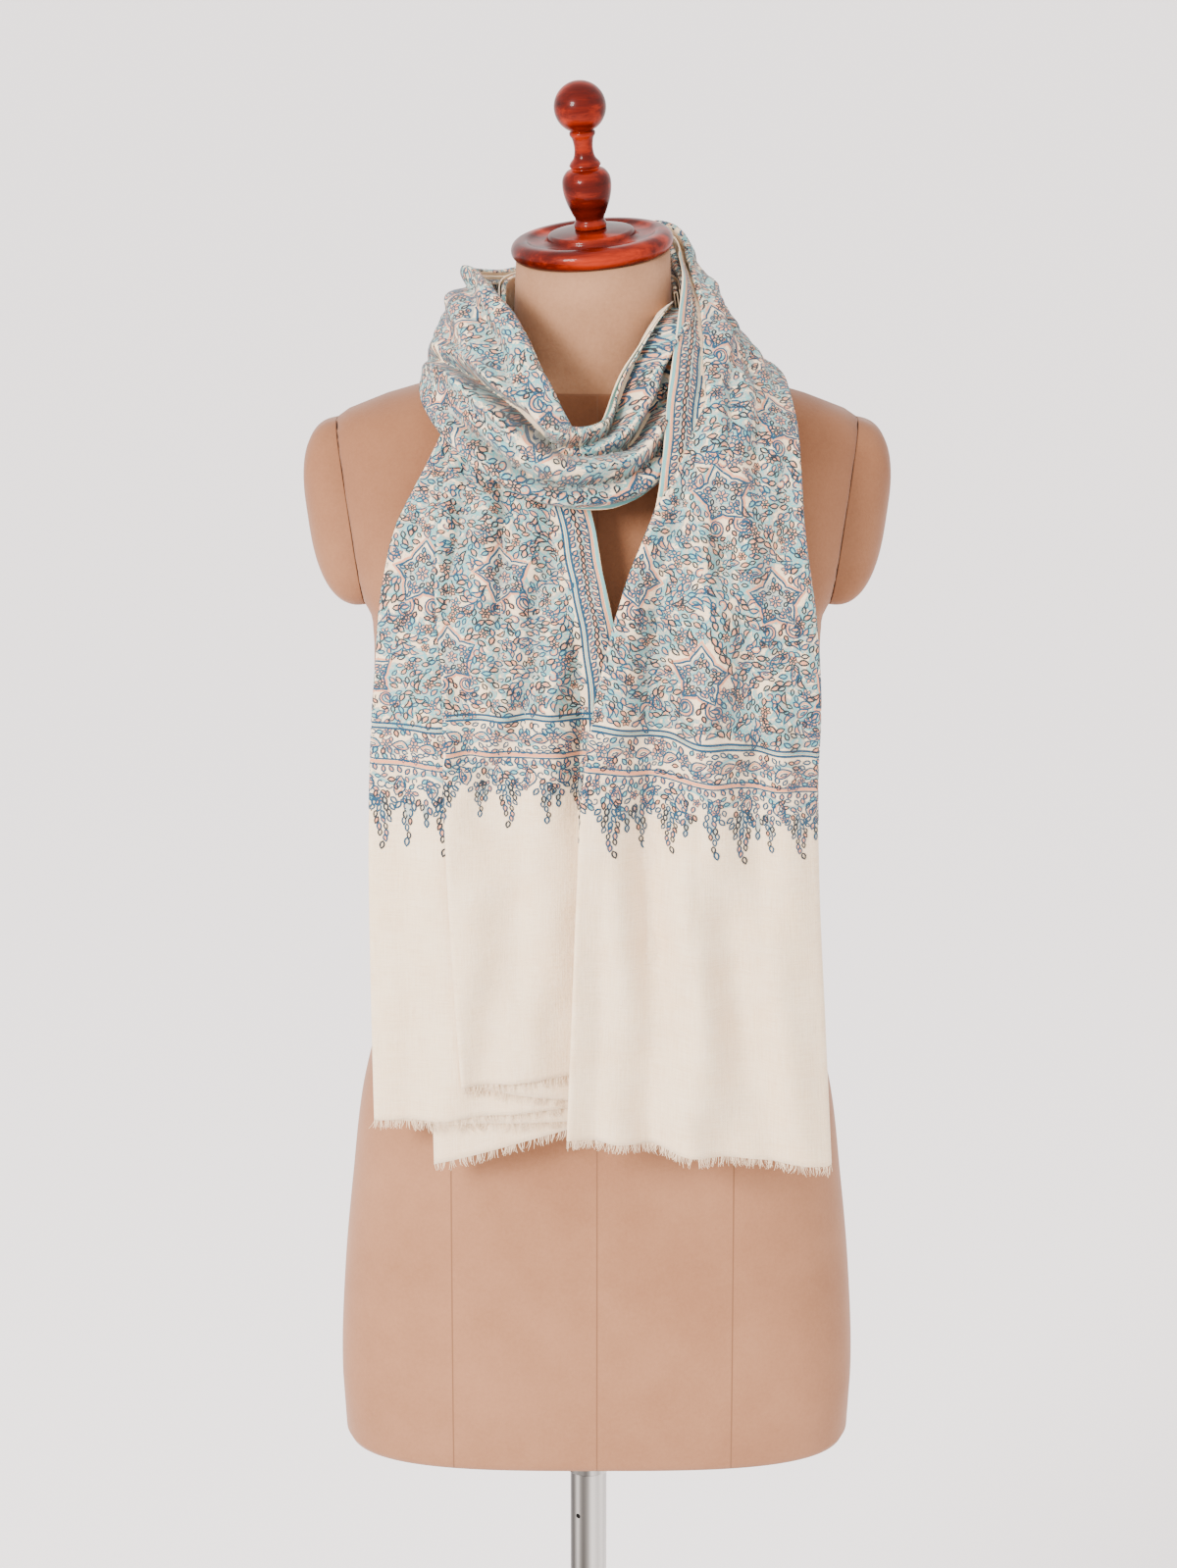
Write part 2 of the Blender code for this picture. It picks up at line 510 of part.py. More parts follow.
def build_shawl():
    """The five stretches and the reach of the two fringes."""
    left_end = path_length(LEFT_PATH)
    loop_end = run_place(RIGHT_RUN, len(LOOP_PATH))
    back_end = run_place(RIGHT_RUN, len(LOOP_PATH + RIGHT_WRAP_PATH))
    right_end = path_length(RIGHT_RUN)
    left = (LEFT_PATH, LEFT_FOLDS, LEFT_DEPTHS, LEFT_DROPS)
    inner = (INNER_WRAP_PATH, INNER_FOLDS, INNER_DEPTHS, INNER_DROPS)
    right = (RIGHT_RUN, RIGHT_FOLDS, RIGHT_DEPTHS, RIGHT_DROPS)
    half_gap = GAP / 2
    back_start = loop_end + half_gap
    tail_start = back_end + half_gap
    pieces = (              # name, run, start, end, rows, gather, hem
        ("fringe_left", left, -FRINGE_LENGTH, -half_gap, 2, 0.0, -1),
        ("shawl_left_tail", left, half_gap, left_end - half_gap, 20, -0.5, -1),
        ("shawl_inner_wrap", inner, 0.0, path_length(INNER_WRAP_PATH), 16, 0.0, 1),
        ("shawl_front_loop", right, 0.0, loop_end - half_gap, 18, 0.0, 1),
        ("shawl_outer_wrap", right, back_start, back_end - half_gap, 11, 0.0, 1),
        ("shawl_right_tail", right, tail_start, right_end - half_gap, 25, 0.6, 1),
        ("fringe_right", right, right_end + half_gap, right_end + FRINGE_LENGTH, 2, 0.0, 1),
    )
    for name, run, start, end, rows, gather, hem in pieces:
        grid = stretch(*run, start, end, rows, gather, LAYER_SAMPLES, hem)
        add_object(name, wall_mesh(name, grid, WALL), "cloth", math.radians(60))


def main():
    for old in list(bpy.data.objects):
        bpy.data.objects.remove(old)
    build_torso()
    build_arm_cap(-1, "form_arm_cap_left")
    build_arm_cap(1, "form_arm_cap_right")
    build_neck_cap_and_finial()
    build_stand()
    build_shawl()


main()
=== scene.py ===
"""A pashmina shawl wound once round the neck of a limbless dress form.

Metres, +Z up, the viewer at -Y. The cloth is one folded surface carried along a path. A place on it
is (place along the path, across in half widths, depth in half thicknesses), and the embroidery lies
on the same surface, laid out flat in metres first: u from the long edge, v from the hem.
"""

import math
from collections import namedtuple

import bpy
import numpy as np
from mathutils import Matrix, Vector


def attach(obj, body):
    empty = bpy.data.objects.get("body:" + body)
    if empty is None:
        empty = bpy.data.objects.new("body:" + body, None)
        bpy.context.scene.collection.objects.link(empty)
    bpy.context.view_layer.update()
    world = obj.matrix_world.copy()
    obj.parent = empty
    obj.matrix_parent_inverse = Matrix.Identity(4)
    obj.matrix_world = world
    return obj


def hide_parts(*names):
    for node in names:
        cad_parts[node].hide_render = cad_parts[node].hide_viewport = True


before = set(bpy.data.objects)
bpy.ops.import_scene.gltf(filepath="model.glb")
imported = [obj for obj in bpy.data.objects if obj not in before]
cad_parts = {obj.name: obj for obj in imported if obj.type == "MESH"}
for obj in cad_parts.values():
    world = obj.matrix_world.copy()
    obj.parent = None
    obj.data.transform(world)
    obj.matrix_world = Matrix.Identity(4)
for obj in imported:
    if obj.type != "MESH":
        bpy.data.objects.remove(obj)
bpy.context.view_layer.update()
rng = np.random.default_rng(7)

# ---- sizes -------------------------------------------------------------------------------
SHAWL_WIDTH = 0.70
CLOTH = 0.0008              # cloth thickness
EDGE_TAPER = 0.12           # how much thinner the bundle is at its sides
DROP_FADE = 0.45            # a layer's drop at the hem fades out this far up
TURN = 0.03                 # half size of a fold's turn, in half widths
SPLIT = 0.0002              # half the gap between two stretches
WAVES = 6                   # loose waves in one rumple
WAVE_SHARE = 0.5
RIDGE_SIZE = 0.35           # a crease's side ridges, as a share of its depth
RIDGE_AWAY = 2.3            # and their distance from it, in its widths
FRINGE = 0.0080
WARP_APART = 0.00085        # between two threads of the fringe
WARP_RADIUS = 0.00034
THREAD_LIFT = 0.00027       # embroidery above the cloth's face
THREAD_RISE = np.array((1.50, 1.42, 1.12, 1.00, 0.84))  # for each thread, in lifts
LAST_TURN = 3.0             # radians round a fold where its embroidery ends
PROBE = 0.0006              # step along the cloth to find its normal
TINY = 1e-12

# ---- the embroidery's motifs ---------------------------------------------------------------
LEAF_THREAD = 0.00106
LINE_STEP = 0.0022
STEM_LENGTH = 0.0120
STEM_BOW = 0.0014
STAR_POINTS = 5
STAR_RADIUS = 0.0215
STAR_APART = 0.092
STAR_RISE = 0.060
BUNCH_APART = 0.044
FIELD_SPACING = 0.0058
NET_RISE = 0.87             # from one row of a net to the next, in spacings
FRONT_MIDDLE = 0.256        # u at the middle of the right run's front layer
LEFT_MIDDLE = 0.300         # u at the middle of the left tail's third layer

# ---- the shawl's path: place, outward direction, half width, half thickness, two bends ------
LEFT_PATH = (
    (-0.0665, -0.1370, 0.900, 0.00, -1.00, 0.02, 0.0814, 0.0066, 0.003, 0.018),
    (-0.0678, -0.1380, 0.996, 0.00, -1.00, 0.02, 0.0811, 0.0066, 0.003, 0.020),
    (-0.0670, -0.1390, 1.101, 0.00, -1.00, 0.02, 0.0815, 0.0066, 0.003, 0.022),
    (-0.0630, -0.1350, 1.204, -0.02, -1.00, 0.10, 0.0812, 0.0066, 0.003, 0.022),
    (-0.0647, -0.1190, 1.269, -0.04, -0.96, 0.28, 0.0744, 0.0064, 0.002, 0.018),
    (-0.0628, -0.0980, 1.319, -0.08, -0.91, 0.40, 0.0628, 0.0062, 0.002, 0.010),
    (-0.0640, -0.0810, 1.352, -0.14, -0.87, 0.46, 0.0440, 0.0060, 0.001, 0.004),
    (-0.0660, -0.0680, 1.377, -0.28, -0.82, 0.46, 0.0300, 0.0058, 0.000, 0.001),
)
INNER_WRAP_PATH = (
    (-0.0665, -0.0640, 1.3840, -0.34, -0.80, 0.46, 0.0240, 0.0032, 0.000, 0.000),
    (-0.0680, -0.0440, 1.4080, -0.74, -0.52, 0.36, 0.0220, 0.0030, 0.000, 0.000),
    (-0.0640, -0.0140, 1.4260, -0.94, -0.16, 0.22, 0.0220, 0.0026, 0.000, 0.000),
    (-0.0560, 0.0250, 1.4340, -0.88, 0.46, 0.10, 0.0220, 0.0024, 0.000, 0.000),
    (-0.0320, 0.0520, 1.4360, -0.52, 0.85, 0.05, 0.0220, 0.0024, 0.000, 0.000),
    (0.0030, 0.0600, 1.4370, 0.00, 1.00, 0.05, 0.0220, 0.0024, 0.000, 0.000),
    (0.0370, 0.0520, 1.4370, 0.52, 0.85, 0.05, 0.0220, 0.0024, 0.000, 0.000),
    (0.0590, 0.0260, 1.4350, 0.88, 0.46, 0.10, 0.0200, 0.0024, 0.000, 0.000),
    (0.0630, -0.0060, 1.4320, 0.98, -0.06, 0.15, 0.0180, 0.0023, 0.000, 0.000),
)
LOOP_PATH = (
    (0.0640, -0.0150, 1.4290, 0.93, -0.32, 0.16, 0.0170, 0.0052, 0.000, 0.000),
    (0.0606, -0.0420, 1.4200, 0.78, -0.56, 0.24, 0.0240, 0.0064, 0.000, 0.000),
    (0.0500, -0.0740, 1.3910, 0.42, -0.86, 0.32, 0.0310, 0.0072, 0.001, 0.002),
    (0.0230, -0.1050, 1.3520, 0.10, -0.95, 0.30, 0.0265, 0.0098, 0.002, 0.004),
    (-0.0210, -0.1200, 1.3500, -0.18, -0.94, 0.28, 0.0265, 0.0108, 0.003, 0.004),
    (-0.0560, -0.1110, 1.3820, -0.46, -0.82, 0.34, 0.0390, 0.0110, 0.004, 0.004),
    (-0.0775, -0.0740, 1.4110, -0.66, -0.50, 0.54, 0.0440, 0.0110, 0.004, 0.004),
    (-0.0890, -0.0250, 1.4310, -0.90, -0.08, 0.40, 0.0370, 0.0105, 0.003, 0.003),
)
OUTER_WRAP_PATH = (
    (-0.0820, 0.0280, 1.4280, -0.86, 0.44, 0.24, 0.0310, 0.0100, 0.002, 0.002),
    (-0.0500, 0.0690, 1.4230, -0.52, 0.84, 0.10, 0.0320, 0.0100, 0.002, 0.002),
    (0.0030, 0.0820, 1.4370, 0.00, 1.00, 0.06, 0.0360, 0.0100, 0.002, 0.002),
    (0.0480, 0.0720, 1.4490, 0.46, 0.84, 0.16, 0.0390, 0.0096, 0.002, 0.002),
    (0.0740, 0.0420, 1.4390, 0.76, 0.44, 0.44, 0.0400, 0.0080, 0.001, 0.002),
)
RIGHT_PATH = (
    (0.0890, -0.0040, 1.4300, 0.78, -0.02, 0.60, 0.0420, 0.0070, 0.000, 0.002),
    (0.0960, -0.0450, 1.4120, 0.58, -0.46, 0.64, 0.0430, 0.0068, 0.000, 0.003),
    (0.0970, -0.0870, 1.3790, 0.32, -0.80, 0.52, 0.0450, 0.0062, 0.000, 0.005),
    (0.0935, -0.1180, 1.3160, 0.10, -0.95, 0.28, 0.0507, 0.0064, 0.000, 0.010),
    (0.0875, -0.1340, 1.2650, 0.04, -0.98, 0.16, 0.0640, 0.0066, -0.003, 0.016),
    (0.0814, -0.1450, 1.2050, 0.00, -1.00, 0.06, 0.0739, 0.0066, -0.009, 0.020),
    (0.0750, -0.1480, 1.1350, 0.00, -1.00, 0.02, 0.0790, 0.0066, -0.012, 0.022),
    (0.0741, -0.1480, 1.0680, 0.00, -1.00, 0.02, 0.0817, 0.0066, -0.012, 0.022),
    (0.0750, -0.1470, 0.9570, 0.00, -1.00, 0.02, 0.0870, 0.0066, -0.012, 0.020),
    (0.0757, -0.1460, 0.8680, 0.00, -1.00, 0.02, 0.0913, 0.0066, -0.012, 0.016),
)

# ---- folds: share of the path, then edge_a, the folds and edge_b, in half widths --------------
LEFT_FOLDS = (
    (0.00, 1.12, -0.24, 0.97, -1.00, 1.00, -0.50),
    (0.40, 1.12, -0.36, 0.97, -1.00, 1.00, -0.50),
    (0.60, 1.05, -0.42, 0.95, -1.00, 0.95, -0.60),
    (0.84, 1.00, -0.55, 0.95, -1.00, 0.95, -0.90),
    (1.00, 1.00, -0.70, 0.95, -1.00, 0.95, -0.95),
)
INNER_FOLDS = (
    (0.00, 1.00, -0.96, 0.96, -1.00),
    (1.00, 1.00, -0.96, 0.96, -1.00),
)
RIGHT_FOLDS = (
    (0.00, 1.00, -0.40, 0.96, -1.00, 0.90, -0.96),
    (0.08, 1.05, -0.40, 0.98, -1.00, 0.90, -0.96),
    (0.10, 1.06, -0.40, 1.00, -1.00, 0.90, -1.02),
    (0.115, 1.06, -0.40, 1.00, -1.00, 0.90, -1.08),
    (0.135, 1.02, -0.40, 1.00, -1.00, 0.90, -0.98),
    (0.16, 0.93, -0.40, 1.00, -1.00, 0.88, -0.94),
    (0.44, 0.93, -0.40, 1.00, -1.00, 0.88, -0.94),
    (0.51, 1.06, -0.35, 0.74, -1.00, 0.86, -0.96),
    (0.58, 1.06, -0.25, 0.46, -1.00, 0.84, -0.96),
    (0.64, 0.98, -0.20, 0.98, -1.00, 0.90, -0.96),
    (0.72, 0.74, -0.10, 1.00, -1.00, 0.92, -0.97),
    (1.00, 0.60, -0.10, 1.00, -1.00, 0.93, -0.97),
)
LEFT_DEPTHS = (1.0, 0.5, 0.0, -0.5, -1.0)
INNER_DEPTHS = (1.0, 0.0, -1.0)
RIGHT_DEPTHS = (0.0, 0.5, 1.0, -0.5, -1.0)
LEFT_DROPS = (-0.035, -0.023, -0.008, 0.007, 0.005, 0.038)
INNER_DROPS = (0.0, 0.0, 0.0, 0.0)
RIGHT_DROPS = (-0.022, -0.024, -0.026, 0.004, -0.022, -0.020)

# ---- creases, each a soft trough between two ridges: three points on it as (place, across), its
# depth and its width ------------------------------------------------------------------------
RIGHT_CREASES = (
    (-0.04, 0.70, 0.120, 0.72, 0.240, 0.10, 0.0170, 0.0036),
    (0.050, -0.36, 0.165, 0.30, 0.300, -0.46, 0.0175, 0.0038),
    (-0.04, 0.05, 0.050, 0.18, 0.130, 0.02, 0.0110, 0.0030),
    (0.020, -0.66, 0.120, -0.48, 0.240, -0.62, 0.0110, 0.0038),
    (0.230, 0.44, 0.300, 0.62, 0.400, 0.50, 0.0050, 0.0054),
    (0.280, -0.10, 0.350, 0.06, 0.440, 0.00, 0.0040, 0.0066),
    (0.330, -0.45, 0.430, -0.36, 0.540, -0.45, 0.0050, 0.0050),
    (0.340, 0.62, 0.430, 0.52, 0.560, 0.50, 0.0050, 0.0046),
    (0.440, 0.00, 0.540, -0.05, 0.640, 0.02, 0.0046, 0.0048),
    (0.560, 0.30, 0.650, 0.12, 0.790, 0.16, 0.0048, 0.0050),
    (0.580, -0.30, 0.670, -0.30, 0.820, -0.42, 0.0040, 0.0062),
    (0.640, -0.66, 0.720, -0.72, 0.860, -0.66, 0.0036, 0.0070),
    (0.700, 0.52, 0.790, 0.66, 0.930, 0.56, 0.0042, 0.0070),
    (0.790, 0.10, 0.900, 0.02, 1.160, 0.10, 0.0040, 0.0100),
    (0.860, -0.45, 1.020, -0.50, 1.300, -0.55, 0.0044, 0.0120),
    (0.980, 0.46, 1.120, 0.40, 1.320, 0.36, 0.0050, 0.0130),
    (1.020, 0.80, 1.140, 0.78, 1.320, 0.80, 0.0040, 0.0090),
)
LEFT_CREASES = (
    (-0.05, -0.72, 0.150, -0.68, 0.340, -0.62, 0.0050, 0.0100),
    (-0.05, 0.30, 0.180, 0.26, 0.380, 0.42, 0.0048, 0.0130),
    (-0.05, 0.72, 0.120, 0.76, 0.260, 0.70, 0.0026, 0.0120),
    (0.200, 0.72, 0.340, 0.66, 0.470, 0.40, 0.0044, 0.0070),
    (0.300, 0.05, 0.400, 0.10, 0.500, 0.02, 0.0056, 0.0060),
    (0.340, -0.40, 0.420, -0.34, 0.500, -0.40, 0.0050, 0.0056),
    (0.330, -0.80, 0.420, -0.74, 0.500, -0.70, 0.0036, 0.0050),
)
# ---- dimples, where the cloth sinks in: place, across, how far each way, depth -------------------
RIGHT_DIMPLES = (
    (0.214, 0.42, 0.0100, 0.0060, 0.0090),
    (0.330, 0.86, 0.0160, 0.0090, 0.0100),
    (0.085, 0.86, 0.0130, 0.0050, 0.0050),
)
LEFT_DIMPLES = ((0.452, 0.20, 0.0140, 0.0070, 0.0100),)
# ---- rumples, each a few loose waves: spacing, turn from the path, size, start, end, seed ---------
RIGHT_RUMPLES = (
    (0.0220, 0.30, 0.00075, 0.00, 0.50, 11),
    (0.0300, 0.30, 0.00150, 0.48, 0.80, 16),
    (0.0380, 0.30, 0.00240, 0.50, 1.00, 12),
    (0.0640, 0.14, 0.00560, 0.84, 1.40, 13),
    (0.0200, 1.50, 0.00060, -0.10, 0.98, 14),
    (0.0450, 0.80, 0.00110, 0.50, 1.40, 15),
)
LEFT_RUMPLES = (
    (0.0560, 0.14, 0.00480, -0.20, 0.34, 21),
    (0.0250, 0.30, 0.00180, 0.22, 0.55, 22),
    (0.0200, 1.50, 0.00075, 0.19, 0.55, 23),
    (0.0400, 0.80, 0.00090, -0.20, 0.40, 24),
)

NECK_TOP = 1.4735

# ---- the dress form's levels: height, half width, half depth, middle, squareness -------------------
TORSO = (
    (0.6145, 0.1770, 0.0925, 0.000, 3.2),
    (0.6165, 0.1815, 0.0970, 0.000, 3.2),
    (0.6215, 0.1840, 0.0995, 0.000, 3.2),
    (0.6600, 0.1862, 0.1020, 0.000, 3.1),
    (0.7430, 0.1832, 0.1030, 0.001, 2.9),
    (0.8120, 0.1765, 0.1015, 0.001, 2.8),
    (0.8770, 0.1685, 0.0970, 0.000, 2.7),
    (0.9400, 0.1530, 0.0900, -0.001, 2.6),
    (1.0200, 0.1370, 0.0840, -0.003, 2.5),
    (1.0900, 0.1440, 0.0930, -0.006, 2.5),
    (1.1400, 0.1515, 0.1040, -0.009, 2.5),
    (1.1800, 0.1550, 0.1110, -0.010, 2.6),
    (1.2150, 0.1555, 0.1100, -0.006, 2.6),
    (1.2290, 0.1575, 0.1085, -0.003, 2.6),
    (1.2400, 0.1640, 0.1060, -0.001, 2.6),
    (1.2700, 0.1760, 0.0985, 0.005, 2.6),
    (1.3050, 0.1820, 0.0890, 0.009, 2.6),
    (1.3350, 0.1850, 0.0780, 0.010, 2.6),
    (1.3520, 0.1845, 0.0710, 0.009, 2.5),
    (1.3610, 0.1790, 0.0665, 0.008, 2.4),
    (1.3672, 0.1690, 0.0640, 0.007, 2.4),
    (1.3725, 0.1550, 0.0620, 0.006, 2.3),
    (1.3775, 0.1430, 0.0605, 0.005, 2.2),
    (1.3820, 0.1270, 0.0590, 0.004, 2.2),
    (1.3855, 0.1150, 0.0580, 0.003, 2.1),
    (1.3890, 0.0930, 0.0568, 0.002, 2.1),
    (1.3935, 0.0730, 0.0556, 0.002, 2.0),
    (1.4020, 0.0600, 0.0545, 0.001, 2.0),
    (1.4200, 0.0552, 0.0532, 0.000, 2.0),
    (1.4450, 0.0535, 0.0528, 0.000, 2.0),
    (NECK_TOP, 0.0525, 0.0525, 0.000, 2.0),
)

NECK_BASE = 1.36
NECK_BLEND = 0.06           # the neck's middle shifts sideways over this height
TILT_START = 1.43
TORSO_CENTRE_X = 0.006
NECK_CENTRE_X = 0.003
CAP_TILT = math.radians(6.0)
CAP_ROLL = math.radians(5.0)
GAP = 0.0003
FINIAL_SEAT = 0.0182
ARMHOLE_LOW = (0.1605, 1.238)
ARMHOLE_HIGH = (0.1795, 1.359)
ARMHOLE_SPAN = (1.20, 1.365)    # heights between which the torso is cut flat
TORSO_LEVELS = 140
TORSO_SIDES = 144
ARM_CAP_REACH = 0.031
ARM_CAP_FULLNESS = 2.5
NECK_SEAM = 1.386
SHOULDER_SEAM_Y = 0.012
SHOULDER_SEAM_LOW = 1.33
BODY_SEAMS = (TORSO_CENTRE_X, -0.0965, 0.1020)
SHOULDER_SHADE_LOW = 1.16         # where painted shade starts to darken the cover towards the shoulders
# the height over which the painted shoulder shade reaches its full depth
SHOULDER_SHADE_BLEND = 0.20


# ---- curves and meshes ---------------------------------------------------------------------
def through(at, values, places):
    """A smooth curve through values given at the places at, read at places; straight past its ends."""
    at = np.asarray(at, float)
    values = np.asarray(values, float)
    slopes = np.gradient(values, at, axis=0)
    places = np.asarray(places, float)
    inside = np.clip(places, at[0], at[-1])
    i = np.clip(np.searchsorted(at, inside, side="right") - 1, 0, len(at) - 2)
    span = (at[i + 1] - at[i])[:, None]
    t = ((inside - at[i]) / (at[i + 1] - at[i]))[:, None]
    value = (2 * t**3 - 3 * t**2 + 1) * values[i] + (t**3 - 2 * t**2 + t) * span * slopes[i]
    value += (-2 * t**3 + 3 * t**2) * values[i + 1] + (t**3 - t**2) * span * slopes[i + 1]
    end_slope = np.where((places < inside)[:, None], slopes[0], slopes[-1])
    return value + (places - inside)[:, None] * end_slope


def chords(rows):
    """Distance to each row of a path along its chords."""
    steps = np.linalg.norm(np.diff(np.asarray(rows)[:, :3], axis=0), axis=1)
    return np.concatenate(([0.0], np.cumsum(steps)))


def new_mesh(name, points, faces, smooth=True):
    """A mesh from an array of points and an array of faces that all have as many corners."""
    points = np.asarray(points, float).reshape(-1, 3)
    faces = np.asarray(faces, int)
    corners = faces.shape[1]
    mesh = bpy.data.meshes.new(name)
    mesh.vertices.add(len(points))
    mesh.vertices.foreach_set("co", points.ravel())
    mesh.loops.add(faces.size)
    mesh.loops.foreach_set("vertex_index", faces.ravel())
    mesh.polygons.add(len(faces))
    mesh.polygons.foreach_set("loop_start", np.arange(0, faces.size, corners))
    mesh.polygons.foreach_set("loop_total", np.full(len(faces), corners))
    mesh.polygons.foreach_set("use_smooth", np.full(len(faces), smooth))
    mesh.update(calc_edges=True)
    mesh.validate()
    return mesh


def grid_faces(rows, cols, closed=False):
    """Quads of a grid of rows by cols points; closed joins the last column to the first."""
    r, c = np.meshgrid(np.arange(rows - 1), np.arange(cols if closed else cols - 1), indexing="ij")
    after = (c + 1) % cols
    quads = (r * cols + c, r * cols + after, (r + 1) * cols + after, (r + 1) * cols + c)
    return np.stack(quads, axis=-1).reshape(-1, 4)


def add_uv(mesh, uv):
    """A UV map from one (u, v) for each vertex."""
    layer = mesh.uv_layers.new(name="UVMap")
    corner = np.empty(len(mesh.loops), int)
    mesh.loops.foreach_get("vertex_index", corner)
    layer.data.foreach_set("uv", np.asarray(uv, float)[corner].ravel())


def add_object(name, data):
    """An object in the scene."""
    new = bpy.data.objects.new(name, data)
    bpy.context.scene.collection.objects.link(new)
    return new


def place_piece(name, mesh, materials, slot, *nodes):
    """A piece of the object on the root body, shown in place of its CAD nodes."""
    piece = add_object(name, mesh)
    for material in materials:
        piece.data.materials.append(material)
    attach(piece, "root")
    if nodes:
        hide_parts(*nodes)
    return piece


# ---- materials ------------------------------------------------------------------------------
def srgb(r, g, b):
    """A linear colour from 0 to 255 sRGB values."""
    linear = [c / 255 / 12.92 if c <= 10 else ((c / 255 + 0.055) / 1.055) ** 2.4 for c in (r, g, b)]
    return (*linear, 1.0)


class Finish:
    """A Principled material, with short ways to wire its nodes."""

    def __init__(self, name, colour, roughness, **sockets):
        self.material = bpy.data.materials.new(name)
        self.material.use_nodes = True
        self.material.diffuse_color = colour
        self.nodes = self.material.node_tree.nodes
        self.shader = self.nodes["Principled BSDF"]
        self.wire(self.shader, Base_Color=colour, Roughness=roughness, **sockets)

    def feed(self, socket, value):
        """Sets an input, or links another node's output to it."""
        if isinstance(value, bpy.types.NodeSocket):
            self.material.node_tree.links.new(value, socket)
        else:
            socket.default_value = value

    def wire(self, node, **values):
        """Feeds a node's inputs by name."""
        for name, value in values.items():
            self.feed(node.inputs[name.replace("_", " ")], value)

    def at(self, source, x=1.0, y=1.0, z=1.0):
        """Texture coordinates of a kind ("UV" or "Object"), scaled on each axis."""
        coordinates = self.nodes.new("ShaderNodeTexCoord")
        mapping = self.nodes.new("ShaderNodeMapping")
        self.wire(mapping, Vector=coordinates.outputs[source], Scale=(x, y, z))
        return mapping.outputs["Vector"]

    def noise(self, vector, scale=1.0, detail=3.0, rough=0.55):
        """A noise texture."""
        noise = self.nodes.new("ShaderNodeTexNoise")
        self.wire(noise, Vector=vector, Scale=scale, Detail=detail, Roughness=rough)
        return noise.outputs["Fac"]

    def math(self, operation, *values):
        """One step of arithmetic on sockets or numbers."""
        node = self.nodes.new("ShaderNodeMath")
        node.operation = operation
        for socket, value in zip(node.inputs, values):
            self.feed(socket, value)
        return node.outputs[0]

    def ramp(self, factor, *stops):
        """A colour ramp on a factor: stops are (position, colour)."""
        node = self.nodes.new("ShaderNodeValToRGB")
        elements = node.color_ramp.elements
        while len(elements) < len(stops):
            elements.new(0.5)
        for element, (position, colour) in zip(elements, stops):
            element.position = position
            element.color = srgb(*colour)
        self.wire(node, Fac=factor)
        return node.outputs["Color"]

    def mix(self, factor, a, b):
        """A blend of two colours by a factor."""
        node = self.nodes.new("ShaderNodeMix")
        node.data_type = "RGBA"
        for socket, value in zip((node.inputs["Factor"], node.inputs[6], node.inputs[7]), (factor, a, b)):
            self.feed(socket, value)
        return node.outputs[2]

    def bump(self, height, strength, distance):
        """Surface relief from a height socket."""
        node = self.nodes.new("ShaderNodeBump")
        self.wire(node, Height=height, Strength=strength, Distance=distance)
        self.wire(self.shader, Normal=node.outputs["Normal"])


def wool_material():
    """Fine cream wool: slubs run both ways, with a soft nap."""
    wool = Finish(
        "cream_wool", srgb(234, 208, 174), 0.92, Sheen_Weight=0.25, Sheen_Roughness=0.5,
        Specular_IOR_Level=0.15, Subsurface_Weight=0.12, Subsurface_Scale=0.004,
        Subsurface_Radius=(1.0, 0.75, 0.45))
    warp = wool.noise(wool.at("UV", 1500.0, 45.0), detail=2.0)
    weft = wool.noise(wool.at("UV", 60.0, 1500.0), detail=2.0)
    slub = wool.math("ADD", warp, weft)
    thread = wool.ramp(
        wool.math("MULTIPLY", slub, 0.5),
        (0.30, (206, 176, 138)), (0.52, (232, 206, 172)), (0.72, (242, 222, 194)))
    patchy = wool.noise(wool.at("UV", 38.0, 38.0), detail=4.0)
    tone = wool.ramp(patchy, (0.35, (230, 200, 162)), (0.65, (236, 212, 180)))
    wool.wire(wool.shader, Base_Color=wool.mix(0.45, thread, tone))
    pucker = wool.noise(wool.at("UV", 260.0, 260.0), rough=0.6)
    wool.bump(wool.math("MULTIPLY_ADD", pucker, 1.6, slub), 0.6, 0.0007)
    return wool.material


def thread_material(name, *colour):
    """Embroidery thread: matt wool, a little lustrous."""
    return Finish(
        f"thread_{name}", srgb(*colour), 0.75, Sheen_Weight=0.2, Specular_IOR_Level=0.25).material


